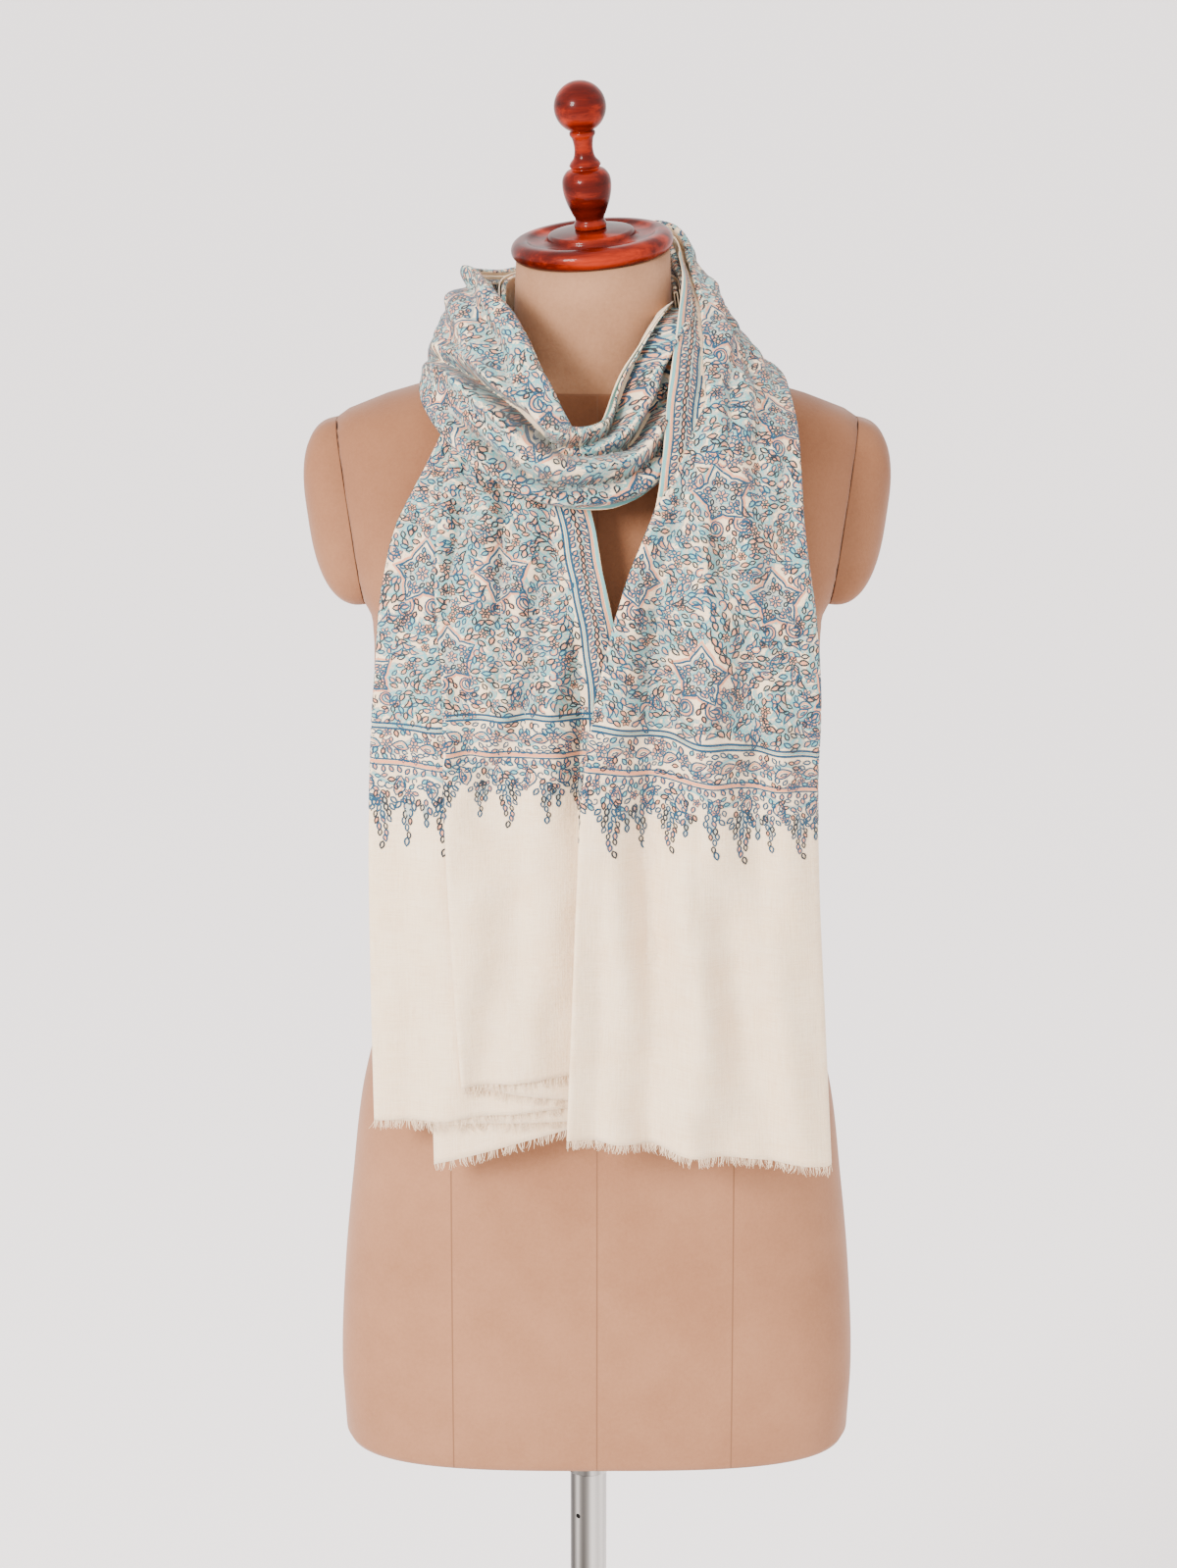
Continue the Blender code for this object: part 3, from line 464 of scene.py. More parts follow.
def suede_material():
    """Suede-like cover: mottled nap, painted shade that darkens the upper torso and shoulders, with its
    panels' seams as fine dark lines.
    """
    suede = Finish(
        "suede_cover", srgb(206, 176, 156), 0.95, Sheen_Weight=0.15, Sheen_Roughness=0.4,
        Specular_IOR_Level=0.1)
    even = suede.at("Object")
    split = suede.nodes.new("ShaderNodeSeparateXYZ")
    suede.feed(split.inputs[0], even)
    x, y, z = split.outputs
    nap = suede.noise(even, 420.0, 3.0, 0.7)
    clouds = suede.noise(even, 14.0, 5.0, 0.6)
    clouds = suede.math("MULTIPLY_ADD", suede.math("SUBTRACT", nap, 0.5), 0.45, clouds)
    body = suede.ramp(clouds, (0.22, (134, 92, 66)), (0.78, (152, 108, 80)))
    # painted shade: a darker brown standing in for the shade that falls on the shoulders under frontal
    # light
    painted_shoulder_shade = suede.ramp(clouds, (0.22, (110, 71, 49)), (0.78, (126, 85, 60)))
    neck = suede.ramp(clouds, (0.25, (134, 96, 70)), (0.75, (156, 116, 88)))
    # painted shade: how much of the darker brown shows, rising with height from where the shoulder shade
    # starts
    high = suede.math("MULTIPLY_ADD", z, 1 / SHOULDER_SHADE_BLEND, -SHOULDER_SHADE_LOW / SHOULDER_SHADE_BLEND)
    high = suede.math("MINIMUM", suede.math("MAXIMUM", high, 0.0), 1.0)

    def near(socket, place, half_width):
        """1 within a seam's width of a place, else 0."""
        away = suede.math("ABSOLUTE", suede.math("SUBTRACT", socket, place))
        return suede.math("LESS_THAN", away, half_width)

    above = suede.math("GREATER_THAN", z, NECK_SEAM)
    below = suede.math("SUBTRACT", 1.0, above)
    shoulder = suede.math(
        "MULTIPLY", near(y, SHOULDER_SEAM_Y, 0.0006), suede.math("GREATER_THAN", z, SHOULDER_SEAM_LOW))
    seam = near(z, NECK_SEAM, 0.0006)
    for line in (*(near(x, place, 0.0005) for place in BODY_SEAMS), shoulder):
        seam = suede.math("MAXIMUM", seam, suede.math("MULTIPLY", line, below))
    # the body colour with painted shade mixed in towards the shoulders, and the neck's own colour above its
    # seam
    colour = suede.mix(above, suede.mix(high, body, painted_shoulder_shade), neck)
    suede.wire(suede.shader, Base_Color=suede.mix(seam, colour, srgb(118, 82, 60)))
    suede.bump(suede.math("SUBTRACT", nap, suede.math("MULTIPLY", seam, 2.0)), 0.35, 0.0006)
    return suede.material


def wood_material():
    """Turned wood, stained red-brown under a glossy varnish."""
    wood = Finish(
        "stained_wood", srgb(80, 12, 3), 0.30, Coat_Weight=0.12, Coat_Roughness=0.03,
        Specular_IOR_Level=0.05)
    grain = wood.noise(wood.at("Object", 9.0, 60.0, 85.0), detail=4.0)
    pores = wood.noise(wood.at("Object", 60.0, 700.0, 900.0), detail=2.0)
    both = wood.math("MULTIPLY_ADD", pores, 0.15, grain)
    wood.wire(wood.shader, Base_Color=wood.ramp(
        both, (0.36, (34, 3, 1)), (0.56, (72, 9, 2)), (0.80, (140, 34, 6))))
    return wood.material


def steel_material():
    """Brushed steel tube, with painted reflections as dark and light vertical bands in its colour."""
    steel = Finish("brushed_steel", srgb(120, 118, 115), 0.30, Metallic=0.95)
    # painted reflections: dark and light bands round the tube, stretched along its length
    painted_reflections = steel.noise(steel.at("Object", 95.0, 95.0, 0.8), detail=1.0)
    lines = steel.noise(steel.at("Object", 260.0, 260.0, 6.0))
    steel.wire(
        steel.shader, Roughness=steel.math("MULTIPLY_ADD", lines, 0.22, 0.24),
        Base_Color=steel.ramp(
            painted_reflections, (0.36, (48, 46, 44)), (0.50, (112, 110, 107)), (0.66, (190, 188, 185))))
    return steel.material


WOOL = wool_material()
CHARCOAL, BLUE, PEACH, AQUA, PALE = range(5)
THREADS = (
    thread_material("charcoal", 18, 28, 36),
    thread_material("blue", 10, 56, 80),
    thread_material("peach", 206, 134, 98),
    thread_material("aqua", 98, 156, 156),
    thread_material("pale_aqua", 156, 160, 150),
)
SUEDE = suede_material()
WOOD = wood_material()
STEEL = steel_material()
DARK = Finish("satin_black", srgb(38, 38, 40), 0.42, Metallic=0.2).material

# ---- the cloth -------------------------------------------------------------------------------
Run = namedtuple("Run", "path at folds depths drops creases dimples rumples hem")


def run_of(path, folds, *rest):
    """A run of the shawl, with the distance along its path. hem is the end that v is measured from:
    -1 for the run's start and 1 for its end."""
    path = np.asarray(path, float)
    return Run(path, chords(path), np.asarray(folds), *rest)


LEFT = run_of(
    LEFT_PATH, LEFT_FOLDS, LEFT_DEPTHS, LEFT_DROPS, LEFT_CREASES, LEFT_DIMPLES, LEFT_RUMPLES, -1)
INNER = run_of(INNER_WRAP_PATH, INNER_FOLDS, INNER_DEPTHS, INNER_DROPS, (), (), (), 1)
RIGHT = run_of(
    LOOP_PATH + OUTER_WRAP_PATH + RIGHT_PATH, RIGHT_FOLDS, RIGHT_DEPTHS, RIGHT_DROPS,
    RIGHT_CREASES, RIGHT_DIMPLES, RIGHT_RUMPLES, 1)
LOOP_END = RIGHT.at[len(LOOP_PATH) - 1]
WRAP_END = RIGHT.at[len(LOOP_PATH + OUTER_WRAP_PATH) - 1]


def folds_at(run, place):
    """Where the edges and folds are, in half widths, one row for each place."""
    share = np.clip(np.asarray(place) / run.at[-1], 0.0, 1.0)
    return np.stack([np.interp(share, run.folds[:, 0], column) for column in run.folds[:, 1:].T], axis=-1)


def window(place, start, end, soft):
    """1 between start and end, easing to 0 over soft on either side."""
    rise = np.clip((place - start) / soft + 0.5, 0, 1)
    fall = np.clip((end - place) / soft + 0.5, 0, 1)
    both = np.minimum(rise, fall)
    return both * both * (3 - 2 * both)


def relief(run, place, across, half):
    """How far the creases, dimples and rumples of the front layer stand out."""
    total = np.zeros_like(place)
    for p1, a1, p2, a2, p3, a3, depth, width in run.creases:
        first = a1 * (place - p2) * (place - p3) / ((p1 - p2) * (p1 - p3))
        second = a2 * (place - p1) * (place - p3) / ((p2 - p1) * (p2 - p3))
        third = a3 * (place - p1) * (place - p2) / ((p3 - p1) * (p3 - p2))
        away = (across - first - second - third) * half / width
        ridges = np.exp(-((np.abs(away) - RIDGE_AWAY) ** 2) / 1.6)
        shape = np.exp(-np.abs(away) ** 1.6) - RIDGE_SIZE * ridges
        total -= depth * shape * window(place, p1, p3, 0.35 * (p3 - p1))
    for p, a, long, wide, depth in run.dimples:
        total -= depth * np.exp(-((place - p) / long) ** 2 - ((across - a) * half / wide) ** 2)
    calm = 1 - 0.85 * np.minimum(across**2, 1.0)
    for spacing, spread, size, start, end, seed in run.rumples:
        loose = np.random.default_rng(seed)
        for _ in range(WAVES):
            turn, length = loose.normal(0, spread), spacing * loose.uniform(0.7, 1.6)
            way = across * half * math.cos(turn) + place * math.sin(turn)
            wave = np.sin(math.tau * (way / length + loose.random()))
            total += size * WAVE_SHARE * wave * calm * window(place, start, end, 0.10)
    return total


def surface(run, place, across, depth, drop):
    """Points of the cloth's middle surface."""
    length = run.at[-1]
    from_hem = place if run.hem < 0 else length - place
    at = place + run.hem * drop * np.maximum(0.0, 1 - from_hem / DROP_FADE)
    here = through(run.at, run.path, at)
    along = through(run.at, run.path[:, :3], at + 0.002) - through(run.at, run.path[:, :3], at - 0.002)
    along /= np.linalg.norm(along, axis=1)[:, None]
    out = here[:, 3:6]
    out = out - along * (out * along).sum(axis=1)[:, None]
    out /= np.linalg.norm(out, axis=1)[:, None]
    side = np.cross(along, out)
    half, thick, bend_a, bend_b = here[:, 6:10].T
    bend = np.where(across > 0, bend_a, bend_b) * across**2
    raised = depth * thick * (1 - EDGE_TAPER * across**2) - bend
    raised += relief(run, place, across, half) * (1 + depth) / 2
    return here[:, :3] + side * (half * across)[:, None] + out * raised[:, None]


def section(run, place, samples):
    """One folded section: across, depth, drop and layer number of each point."""
    folds = folds_at(run, [place])[0]
    rows = []
    last_layer = len(run.depths) - 1
    for layer in range(last_layer + 1):
        start, end = folds[layer], folds[layer + 1]
        way = math.copysign(TURN, end - start)
        first = start + (way if layer else 0.0)
        last = end - (way if layer < last_layer else 0.0)
        share = np.linspace(0, 1, samples[layer])
        drop = run.drops[layer] + (run.drops[layer + 1] - run.drops[layer]) * share
        depth = np.full_like(share, run.depths[layer])
        rows.append(np.stack((first + (last - first) * share, depth, drop, layer + share), axis=1))
        if layer < last_layer:
            angle = np.linspace(0, math.pi, 7)[1:-1]
            step = run.depths[layer + 1] - run.depths[layer]
            turned = np.full_like(angle, run.drops[layer + 1])
            rows.append(np.stack((
                last + way * np.sin(angle), run.depths[layer] + step * (1 - np.cos(angle)) / 2,
                turned, layer + 1 + 0 * angle), axis=1))
    return np.concatenate(rows)


def cloth_piece(name, run, start, end, rows, samples):
    """One stretch of the shawl: its grid of points, as a thin wall of wool."""
    places = np.linspace(start, end, rows)
    sections = np.stack([section(run, place, samples) for place in places])
    cols = sections.shape[1]
    place = np.repeat(places, cols)
    flat = sections.reshape(-1, 4)
    points = surface(run, place, flat[:, 0], flat[:, 1], flat[:, 2])
    mesh = new_mesh(name, points, grid_faces(rows, cols))
    u = SHAWL_WIDTH * flat[:, 3] / len(run.depths)
    v = place if run.hem < 0 else run.at[-1] - place
    add_uv(mesh, np.stack((u, v), axis=1))
    piece = place_piece(name, mesh, (WOOL,), "cloth", f"shawl_{name}")
    wall = piece.modifiers.new("wall", "SOLIDIFY")
    wall.thickness = CLOTH
    wall.offset = 0.0
    return piece, points.reshape(rows, cols, 3)


def fringe_piece(name, grid, hem_row, inner_row, node):
    """The loose ends of the warp, in ones and small tufts, along a hem."""
    line = grid[hem_row]
    away = line - grid[inner_row]
    away /= np.linalg.norm(away, axis=1)[:, None]
    run = chords(line)
    count = int(run[-1] / WARP_APART)
    at = np.sort(rng.uniform(0, run[-1], count))
    root = through(run, line, at)
    down = through(run, away, at)
    over = np.gradient(root, axis=0)
    over /= np.linalg.norm(over, axis=1)[:, None] + 1e-9
    face = np.cross(down, over)
    clump = np.sin(at / 0.0031 + 2.0 * np.sin(at / 0.011))[:, None]
    lean = 0.32 * clump + 0.16 * rng.normal(size=(count, 1))
    lift = 0.12 * rng.normal(size=(count, 1))
    length = (FRINGE * rng.uniform(0.62, 1.0, count))[:, None]
    rings = []
    for share in (0.0, 0.4, 0.75, 1.0):
        way = down + over * lean * share + face * lift * share
        middle = root - down * 0.0006 + length * share * way
        thick = WARP_RADIUS * (1 - 0.6 * share)
        for angle in np.arange(3) * math.tau / 3:
            rings.append(middle + thick * (over * math.cos(angle) + face * math.sin(angle)))
    points = np.stack(rings, axis=1)
    one = grid_faces(4, 3, closed=True)
    faces = (one[None] + 12 * np.arange(count)[:, None, None]).reshape(-1, 4)
    return place_piece(name, new_mesh(name, points, faces), (WOOL,), "cloth", node)


# Each stretch: its rows of points, then its points across each layer.
LOOP_SAMPLES = (30, 24, 88, 20, 20)
left_tail, left_grid = cloth_piece("left_tail", LEFT, 0.0, LEFT.at[-1], 104, (66, 26, 66, 20, 20))
inner_wrap, _ = cloth_piece("inner_wrap", INNER, 0.0, INNER.at[-1], 60, (28, 20, 20))
front_loop, _ = cloth_piece("front_loop", RIGHT, 0.0, LOOP_END - SPLIT, 96, LOOP_SAMPLES)
outer_wrap, _ = cloth_piece("outer_wrap", RIGHT, LOOP_END + SPLIT, WRAP_END - SPLIT, 66, LOOP_SAMPLES)
right_tail, right_grid = cloth_piece(
    "right_tail", RIGHT, WRAP_END + SPLIT, RIGHT.at[-1], 138, (30, 22, 90, 20, 20))
left_fringe = fringe_piece("left_fringe", left_grid, 0, 1, "fringe_left")
right_fringe = fringe_piece("right_fringe", right_grid, -1, -2, "fringe_right")


# ---- embroidery: every stitch line or fill is a strip between two flat lines ---------------------
def pairs(x, y):
    """Rows of (x, y); either can be one number for all of them."""
    return np.stack(np.broadcast_arrays(x, y), axis=-1)


def polar(reach, angle):
    """The point or points at a distance in a direction."""
    return pairs(reach * np.cos(angle), reach * np.sin(angle))


def ribbon(points, width, closed=False):
    """A strip of that width along a line."""
    if closed:
        ahead = np.roll(points, -1, axis=0) - np.roll(points, 1, axis=0)
    else:
        ahead = np.gradient(points, axis=0)
    across = pairs(-ahead[:, 1], ahead[:, 0])
    across /= np.linalg.norm(across, axis=1)[:, None] + TINY
    left, right = points + across * width / 2, points - across * width / 2
    if closed:
        left, right = np.vstack((left, left[:1])), np.vstack((right, right[:1]))
    return left, right


def turned_by(strips, angle, shift=(0.0, 0.0), size=1.0):
    """Strips turned, scaled and moved."""
    c, s = math.cos(angle) * size, math.sin(angle) * size
    spin = np.array(((c, s), (-s, c)))
    return [(colour, a @ spin + shift, b @ spin + shift) for colour, a, b in strips]


def lens(length, width, steps, start=0.0, bow=0.0):
    """The two sides of a leaf along +x, with its point at start."""
    t = np.linspace(0, 1, steps)
    middle = pairs(start + length * t, bow * np.sin(math.pi * t))
    swell = pairs(0.0, width / 2 * np.sin(math.pi * t ** 0.85) ** 0.85)
    return middle + swell, middle - swell


def leaf(length, width, outline, fill, thread=LEAF_THREAD, start=0.0, bow=0.0, steps=5):
    """A leaf in outline, with its middle filled in."""
    upper, lower = lens(length, width, steps, start, bow)
    around = np.vstack((upper, lower[-2:0:-1]))
    strips = [(outline, *ribbon(around, thread, closed=True))]
    if fill is not None:
        inset = 0.16 * length
        middle = lens(length - 2 * inset, width * 0.62, steps - 1, start + inset, bow)
        strips.append((fill, *middle))
    return strips


def blade(length, width, outline, fill, bow=0.0):
    """A leaf about its own middle."""
    return leaf(length, width, outline, fill, start=-length / 2, bow=bow)


def rosette(petals, reach, outline):
    """A small flower of peach petals."""
    petal = leaf(reach * 0.92, reach * 0.60, outline, PEACH, 0.00070, start=reach * 0.16, steps=4)
    return [strip for k in range(petals) for strip in turned_by(petal, k * math.tau / petals)]


def curl(reach, turns, colour, width, steps=12):
    """A line that winds in to a curl."""
    t = np.linspace(0, 1, steps)
    return [(colour, *ribbon(polar(reach * (1 - 0.78 * t), turns * math.tau * t), width))]


def scroll(size):
    """A paisley scroll: blue lines with a peach line between them, and a leaf in its throat."""
    strips = curl(size, 1.05, BLUE, 0.00100, 15)
    strips += curl(size * 0.84, 1.02, PEACH, 0.00110, 14)
    strips += curl(size * 0.68, 1.0, BLUE, 0.00085, 12)
    strips += turned_by(leaf(size * 0.8, size * 0.36, BLUE, PEACH, start=-size * 0.3), 0.6)
    for angle in (0.4, 1.35, 2.3):
        strips += turned_by(blade(0.0044, 0.0024, CHARCOAL, PEACH), angle + 1.4, polar(size * 1.16, angle))
    return strips


def stem(colour, width):
    """A curving stem with two tendrils."""
    t = np.linspace(-0.5, 0.5, 6)
    strips = [(colour, *ribbon(pairs(STEM_LENGTH * t, STEM_BOW * np.sin(math.tau * t)), width))]
    s = np.linspace(0, 1, 4)
    for place, way in ((-0.22, 1), (0.16, -1)):
        rise = STEM_BOW * math.sin(math.tau * place) + way * 0.0040 * s**1.6
        strips.append((colour, *ribbon(pairs(STEM_LENGTH * place + 0.003 * s, rise), width)))
    return strips


def star_reach(angle):
    """How far the star motif reaches each way, as a share of its radius."""
    wave = np.abs(((angle * STAR_POINTS / math.tau) % 1.0) * 2 - 1)
    uneven = 1 + 0.09 * np.cos(angle + 0.4) + 0.05 * np.sin(2 * angle + 0.8)
    return (0.62 + 0.38 * wave**1.7 + 0.03 * np.sin(wave * math.tau)) * uneven


def star(radius):
    """The large motif: a broad five-pointed star in peach and blue lines, filled with flowers."""
    angle = np.linspace(0, math.tau, STAR_POINTS * 10, endpoint=False)
    twisted = angle + 0.07 * np.sin(3 * angle + 1.0)
    strips = []
    for scale, colour, width in (
            (1.0, PEACH, 0.00130), (0.945, PALE, 0.00120), (0.890, BLUE, 0.00120),
            (0.30, PALE, 0.0042), (0.30, AQUA, 0.00085), (0.62, PALE, 0.0042), (0.62, AQUA, 0.00085)):
        outline = polar(radius * scale * star_reach(angle), twisted)
        strips.append((colour, *ribbon(outline, width, closed=True)))
    strips += turned_by(rosette(7, 0.0046, BLUE), 0.3)
    for k in range(STAR_POINTS):
        turn = k * math.tau / STAR_POINTS
        between = turn + math.pi / STAR_POINTS
        flower = rosette(5, 0.0038, BLUE if k % 2 else CHARCOAL)
        strips += turned_by(flower, turn + 0.4, polar(radius * 0.47, turn))
        for side in (-0.35, 0.35):
            small = blade(0.0042, 0.0023, BLUE, PEACH)
            strips += turned_by(small, turn - side, polar(radius * 0.50, turn + side))
        strips += turned_by(
            blade(0.0040, 0.0022, CHARCOAL, None), between + 1.0, polar(radius * 0.34, between))
        strips += turned_by(blade(0.0038, 0.0020, BLUE, None), turn, polar(radius * 0.70, turn))
    for side in (-1, 1):
        foot = (-radius * 0.92, side * radius * 0.46 - radius * 0.10)
        strips += turned_by(scroll(radius * 0.36), side * 0.7 + math.pi / 2, foot)
    return strips


def paisley(size):
    """A small paisley: three leaves, one inside the other."""
    strips = leaf(size, size * 0.56, BLUE, None, 0.00100, -size / 2, size * 0.10, 7)
    strips += leaf(size * 0.76, size * 0.34, PEACH, None, 0.00085, -size * 0.38, size * 0.07, 6)
    strips += leaf(size * 0.42, size * 0.15, BLUE, None, 0.00080, -size * 0.20)
    return strips


def bunch(rows, seed):
    """A hanging bunch of small leaves, closer and darker than the rest, down to one at its tip."""
    loose = np.random.default_rng(seed)
    strips = []
    for row, number in enumerate(rows):
        for k in range(number):
            shift = (k - (number - 1) / 2) * 0.0038 + loose.uniform(-0.0008, 0.0008)
            outline = BLUE if loose.random() < 0.6 else CHARCOAL
            fill = PEACH if loose.random() < 0.45 else None
            spread = 110.0 * shift + loose.uniform(-0.35, 0.35)
            place = (row * 0.0041 + loose.uniform(-0.0008, 0.0008), shift)
            strips += turned_by(
                leaf(0.0048, 0.0026, outline, fill), spread, place, loose.uniform(0.85, 1.15))
    return strips


class Flat:
    """Embroidery laid out on the flat cloth, as quads of (u, v) with a thread each."""

    def __init__(self):
        self.quads = []
        self.threads = []

    def put(self, x, y, colour):
        """Quads from the coordinates of their corners."""
        self.quads.append(pairs(x, y).reshape(-1, 4, 2))
        self.threads.append(np.full(len(self.quads[-1]), colour))

    def add(self, strips, places, angles=0.0, sizes=1.0):
        """The same strips at many places."""
        c, s = (np.broadcast_to(way(angles) * sizes, len(places))[:, None] for way in (np.cos, np.sin))
        for colour, left, right in strips:
            x, y = corners(left, right)
            self.put(places[:, :1] + x * c - y * s, places[:, 1:] + x * s + y * c, colour)

    def line(self, points, width, colour):
        """One long line of stitches."""
        self.put(*corners(*ribbon(points, width)), colour)

    def done(self):
        """All the quads, and the thread of each."""
        return np.concatenate(self.quads), np.concatenate(self.threads)

    def outlines(self):
        """What shows on the back of the cloth: the outlines, without the fills."""
        quads, threads = self.done()
        return quads[threads < PEACH], threads[threads < PEACH]


def corners(left, right):
    """The x and y of the corners of a strip's quads, one after another."""
    quads = np.stack((left[:-1], left[1:], right[1:], right[:-1]), axis=1)
    return quads[..., 0].ravel(), quads[..., 1].ravel()


# Leaves, flowers and curls, with how often each comes.
FIELD_LEAVES = (
    (blade(0.0068, 0.0036, CHARCOAL, PEACH, 0.0003), 0.22),
    (blade(0.0064, 0.0034, BLUE, PEACH, -0.0004), 0.16),
    (blade(0.0056, 0.0029, CHARCOAL, None), 0.14),
    (blade(0.0060, 0.0031, BLUE, AQUA), 0.11),
    (blade(0.0100, 0.0034, BLUE, PEACH, 0.0028), 0.09),
    (blade(0.0092, 0.0032, CHARCOAL, PEACH, -0.0024), 0.07),
    (rosette(6, 0.0038, CHARCOAL), 0.07),
    (rosette(5, 0.0040, BLUE), 0.07),
    (curl(0.0046, 0.85, BLUE, 0.00100) + curl(0.0033, 0.8, PEACH, 0.00100), 0.04),
    (paisley(0.0105), 0.04),
)
BORDER_LEAVES = (
    (blade(0.0054, 0.0030, BLUE, PEACH), 0.22),
    (blade(0.0052, 0.0028, BLUE, None), 0.22),
    (blade(0.0054, 0.0030, BLUE, AQUA), 0.20),
    (blade(0.0054, 0.0030, CHARCOAL, PEACH), 0.18),
    (rosette(5, 0.0034, BLUE), 0.10),
    (curl(0.0036, 0.85, BLUE, 0.00095), 0.08),
)
# Hanging bunches: shift along the border, leaves in each row, start as a share of the fall, seed.
BUNCHES = (
    (0.0, (3, 4, 4, 3, 3, 2, 2, 1, 1), 0.38, 1),
    (0.30, (3, 2, 1, 1), 0.42, 2),
    (0.54, (2, 3, 2, 2, 1, 1, 1), 0.42, 3),
)


def swirl(u, v):
    """The way the leaves lie at a place."""
    turn = 1.9 * np.sin(u / 0.016 + 1.4 * np.sin(v / 0.019))
    turn = turn + 1.7 * np.sin(v / 0.021 - 1.1 * np.sin(u / 0.024))
    return turn + 0.8 * np.sin((u + v) / 0.012)


def scatter(flat, u, v, kinds):
    """Leaves of some kinds at places, lying the way the swirls run."""
    angle = swirl(u, v) + rng.uniform(-0.35, 0.35, u.size)
    size = rng.uniform(0.74, 1.02, u.size)
    shares = np.array([share for _, share in kinds])
    kind = rng.choice(len(kinds), u.size, p=shares / shares.sum())
    for number, (strips, _) in enumerate(kinds):
        chosen = kind == number
        flat.add(strips, pairs(u[chosen], v[chosen]), angle[chosen], size[chosen])


def net(u_range, v_range, spacing):
    """Loose places on a staggered net."""
    rows = int((v_range[1] - v_range[0]) / (spacing * NET_RISE)) + 1
    cols = int((u_range[1] - u_range[0]) / spacing) + 1
    r, c = np.meshgrid(np.arange(rows), np.arange(cols), indexing="ij")
    u = u_range[0] + (c + 0.5 * (r % 2)).ravel() * spacing
    v = v_range[0] + r.ravel() * spacing * NET_RISE
    loose_u, loose_v = rng.uniform(-0.26, 0.26, (2, u.size)) * spacing
    return u + loose_u, v + loose_v


def field(flat, u_range, v_range, margin=-1.0):
    """The all-over jaal: star motifs on a staggered net, leaves, flowers and hooks between."""
    (u0, u1), (v0, v1) = u_range, v_range
    rows, cols = int((v1 - v0) / STAR_RISE) + 2, int((u1 - u0) / STAR_APART) + 2
    stars = np.array([
        (u0 - 0.006 + STAR_APART * col + STAR_APART / 2 * (row % 2), v0 + 0.040 + STAR_RISE * row)
        for row in range(rows) for col in range(cols)])
    stars += rng.uniform(-0.005, 0.005, stars.shape)
    lean = rng.uniform(-0.4, 0.4, len(stars)) + math.pi / 2
    inside = (stars[:, 1] < v1) & (stars[:, 1] > v0 + 0.028) & (stars[:, 0] > u0 + margin)
    stars, lean = stars[inside], lean[inside]
    flat.add(star(STAR_RADIUS), stars, lean)
    u, v = net(u_range, v_range, FIELD_SPACING)
    clear = (v > v0) & (v < v1)
    for middle, turn in zip(stars, lean):
        du, dv = u - middle[0], v - middle[1]
        clear &= np.hypot(du, dv) > STAR_RADIUS * star_reach(np.arctan2(dv, du) - turn) + 0.0014
        foot = middle - polar(0.0198, turn)
        clear &= np.hypot(u - foot[0], v - foot[1]) > 0.0090
    u, v = u[clear], v[clear]
    stems = rng.random(u.size) < 0.65
    places = pairs(u[stems], v[stems]) + FIELD_SPACING * 0.45
    turn = swirl(*places.T) + 0.7
    flat.add(stem(PALE, 0.0024), places + 0.0010, turn)
    flat.add(stem(AQUA, 0.00085), places, turn)
    scatter(flat, u, v, FIELD_LEAVES)


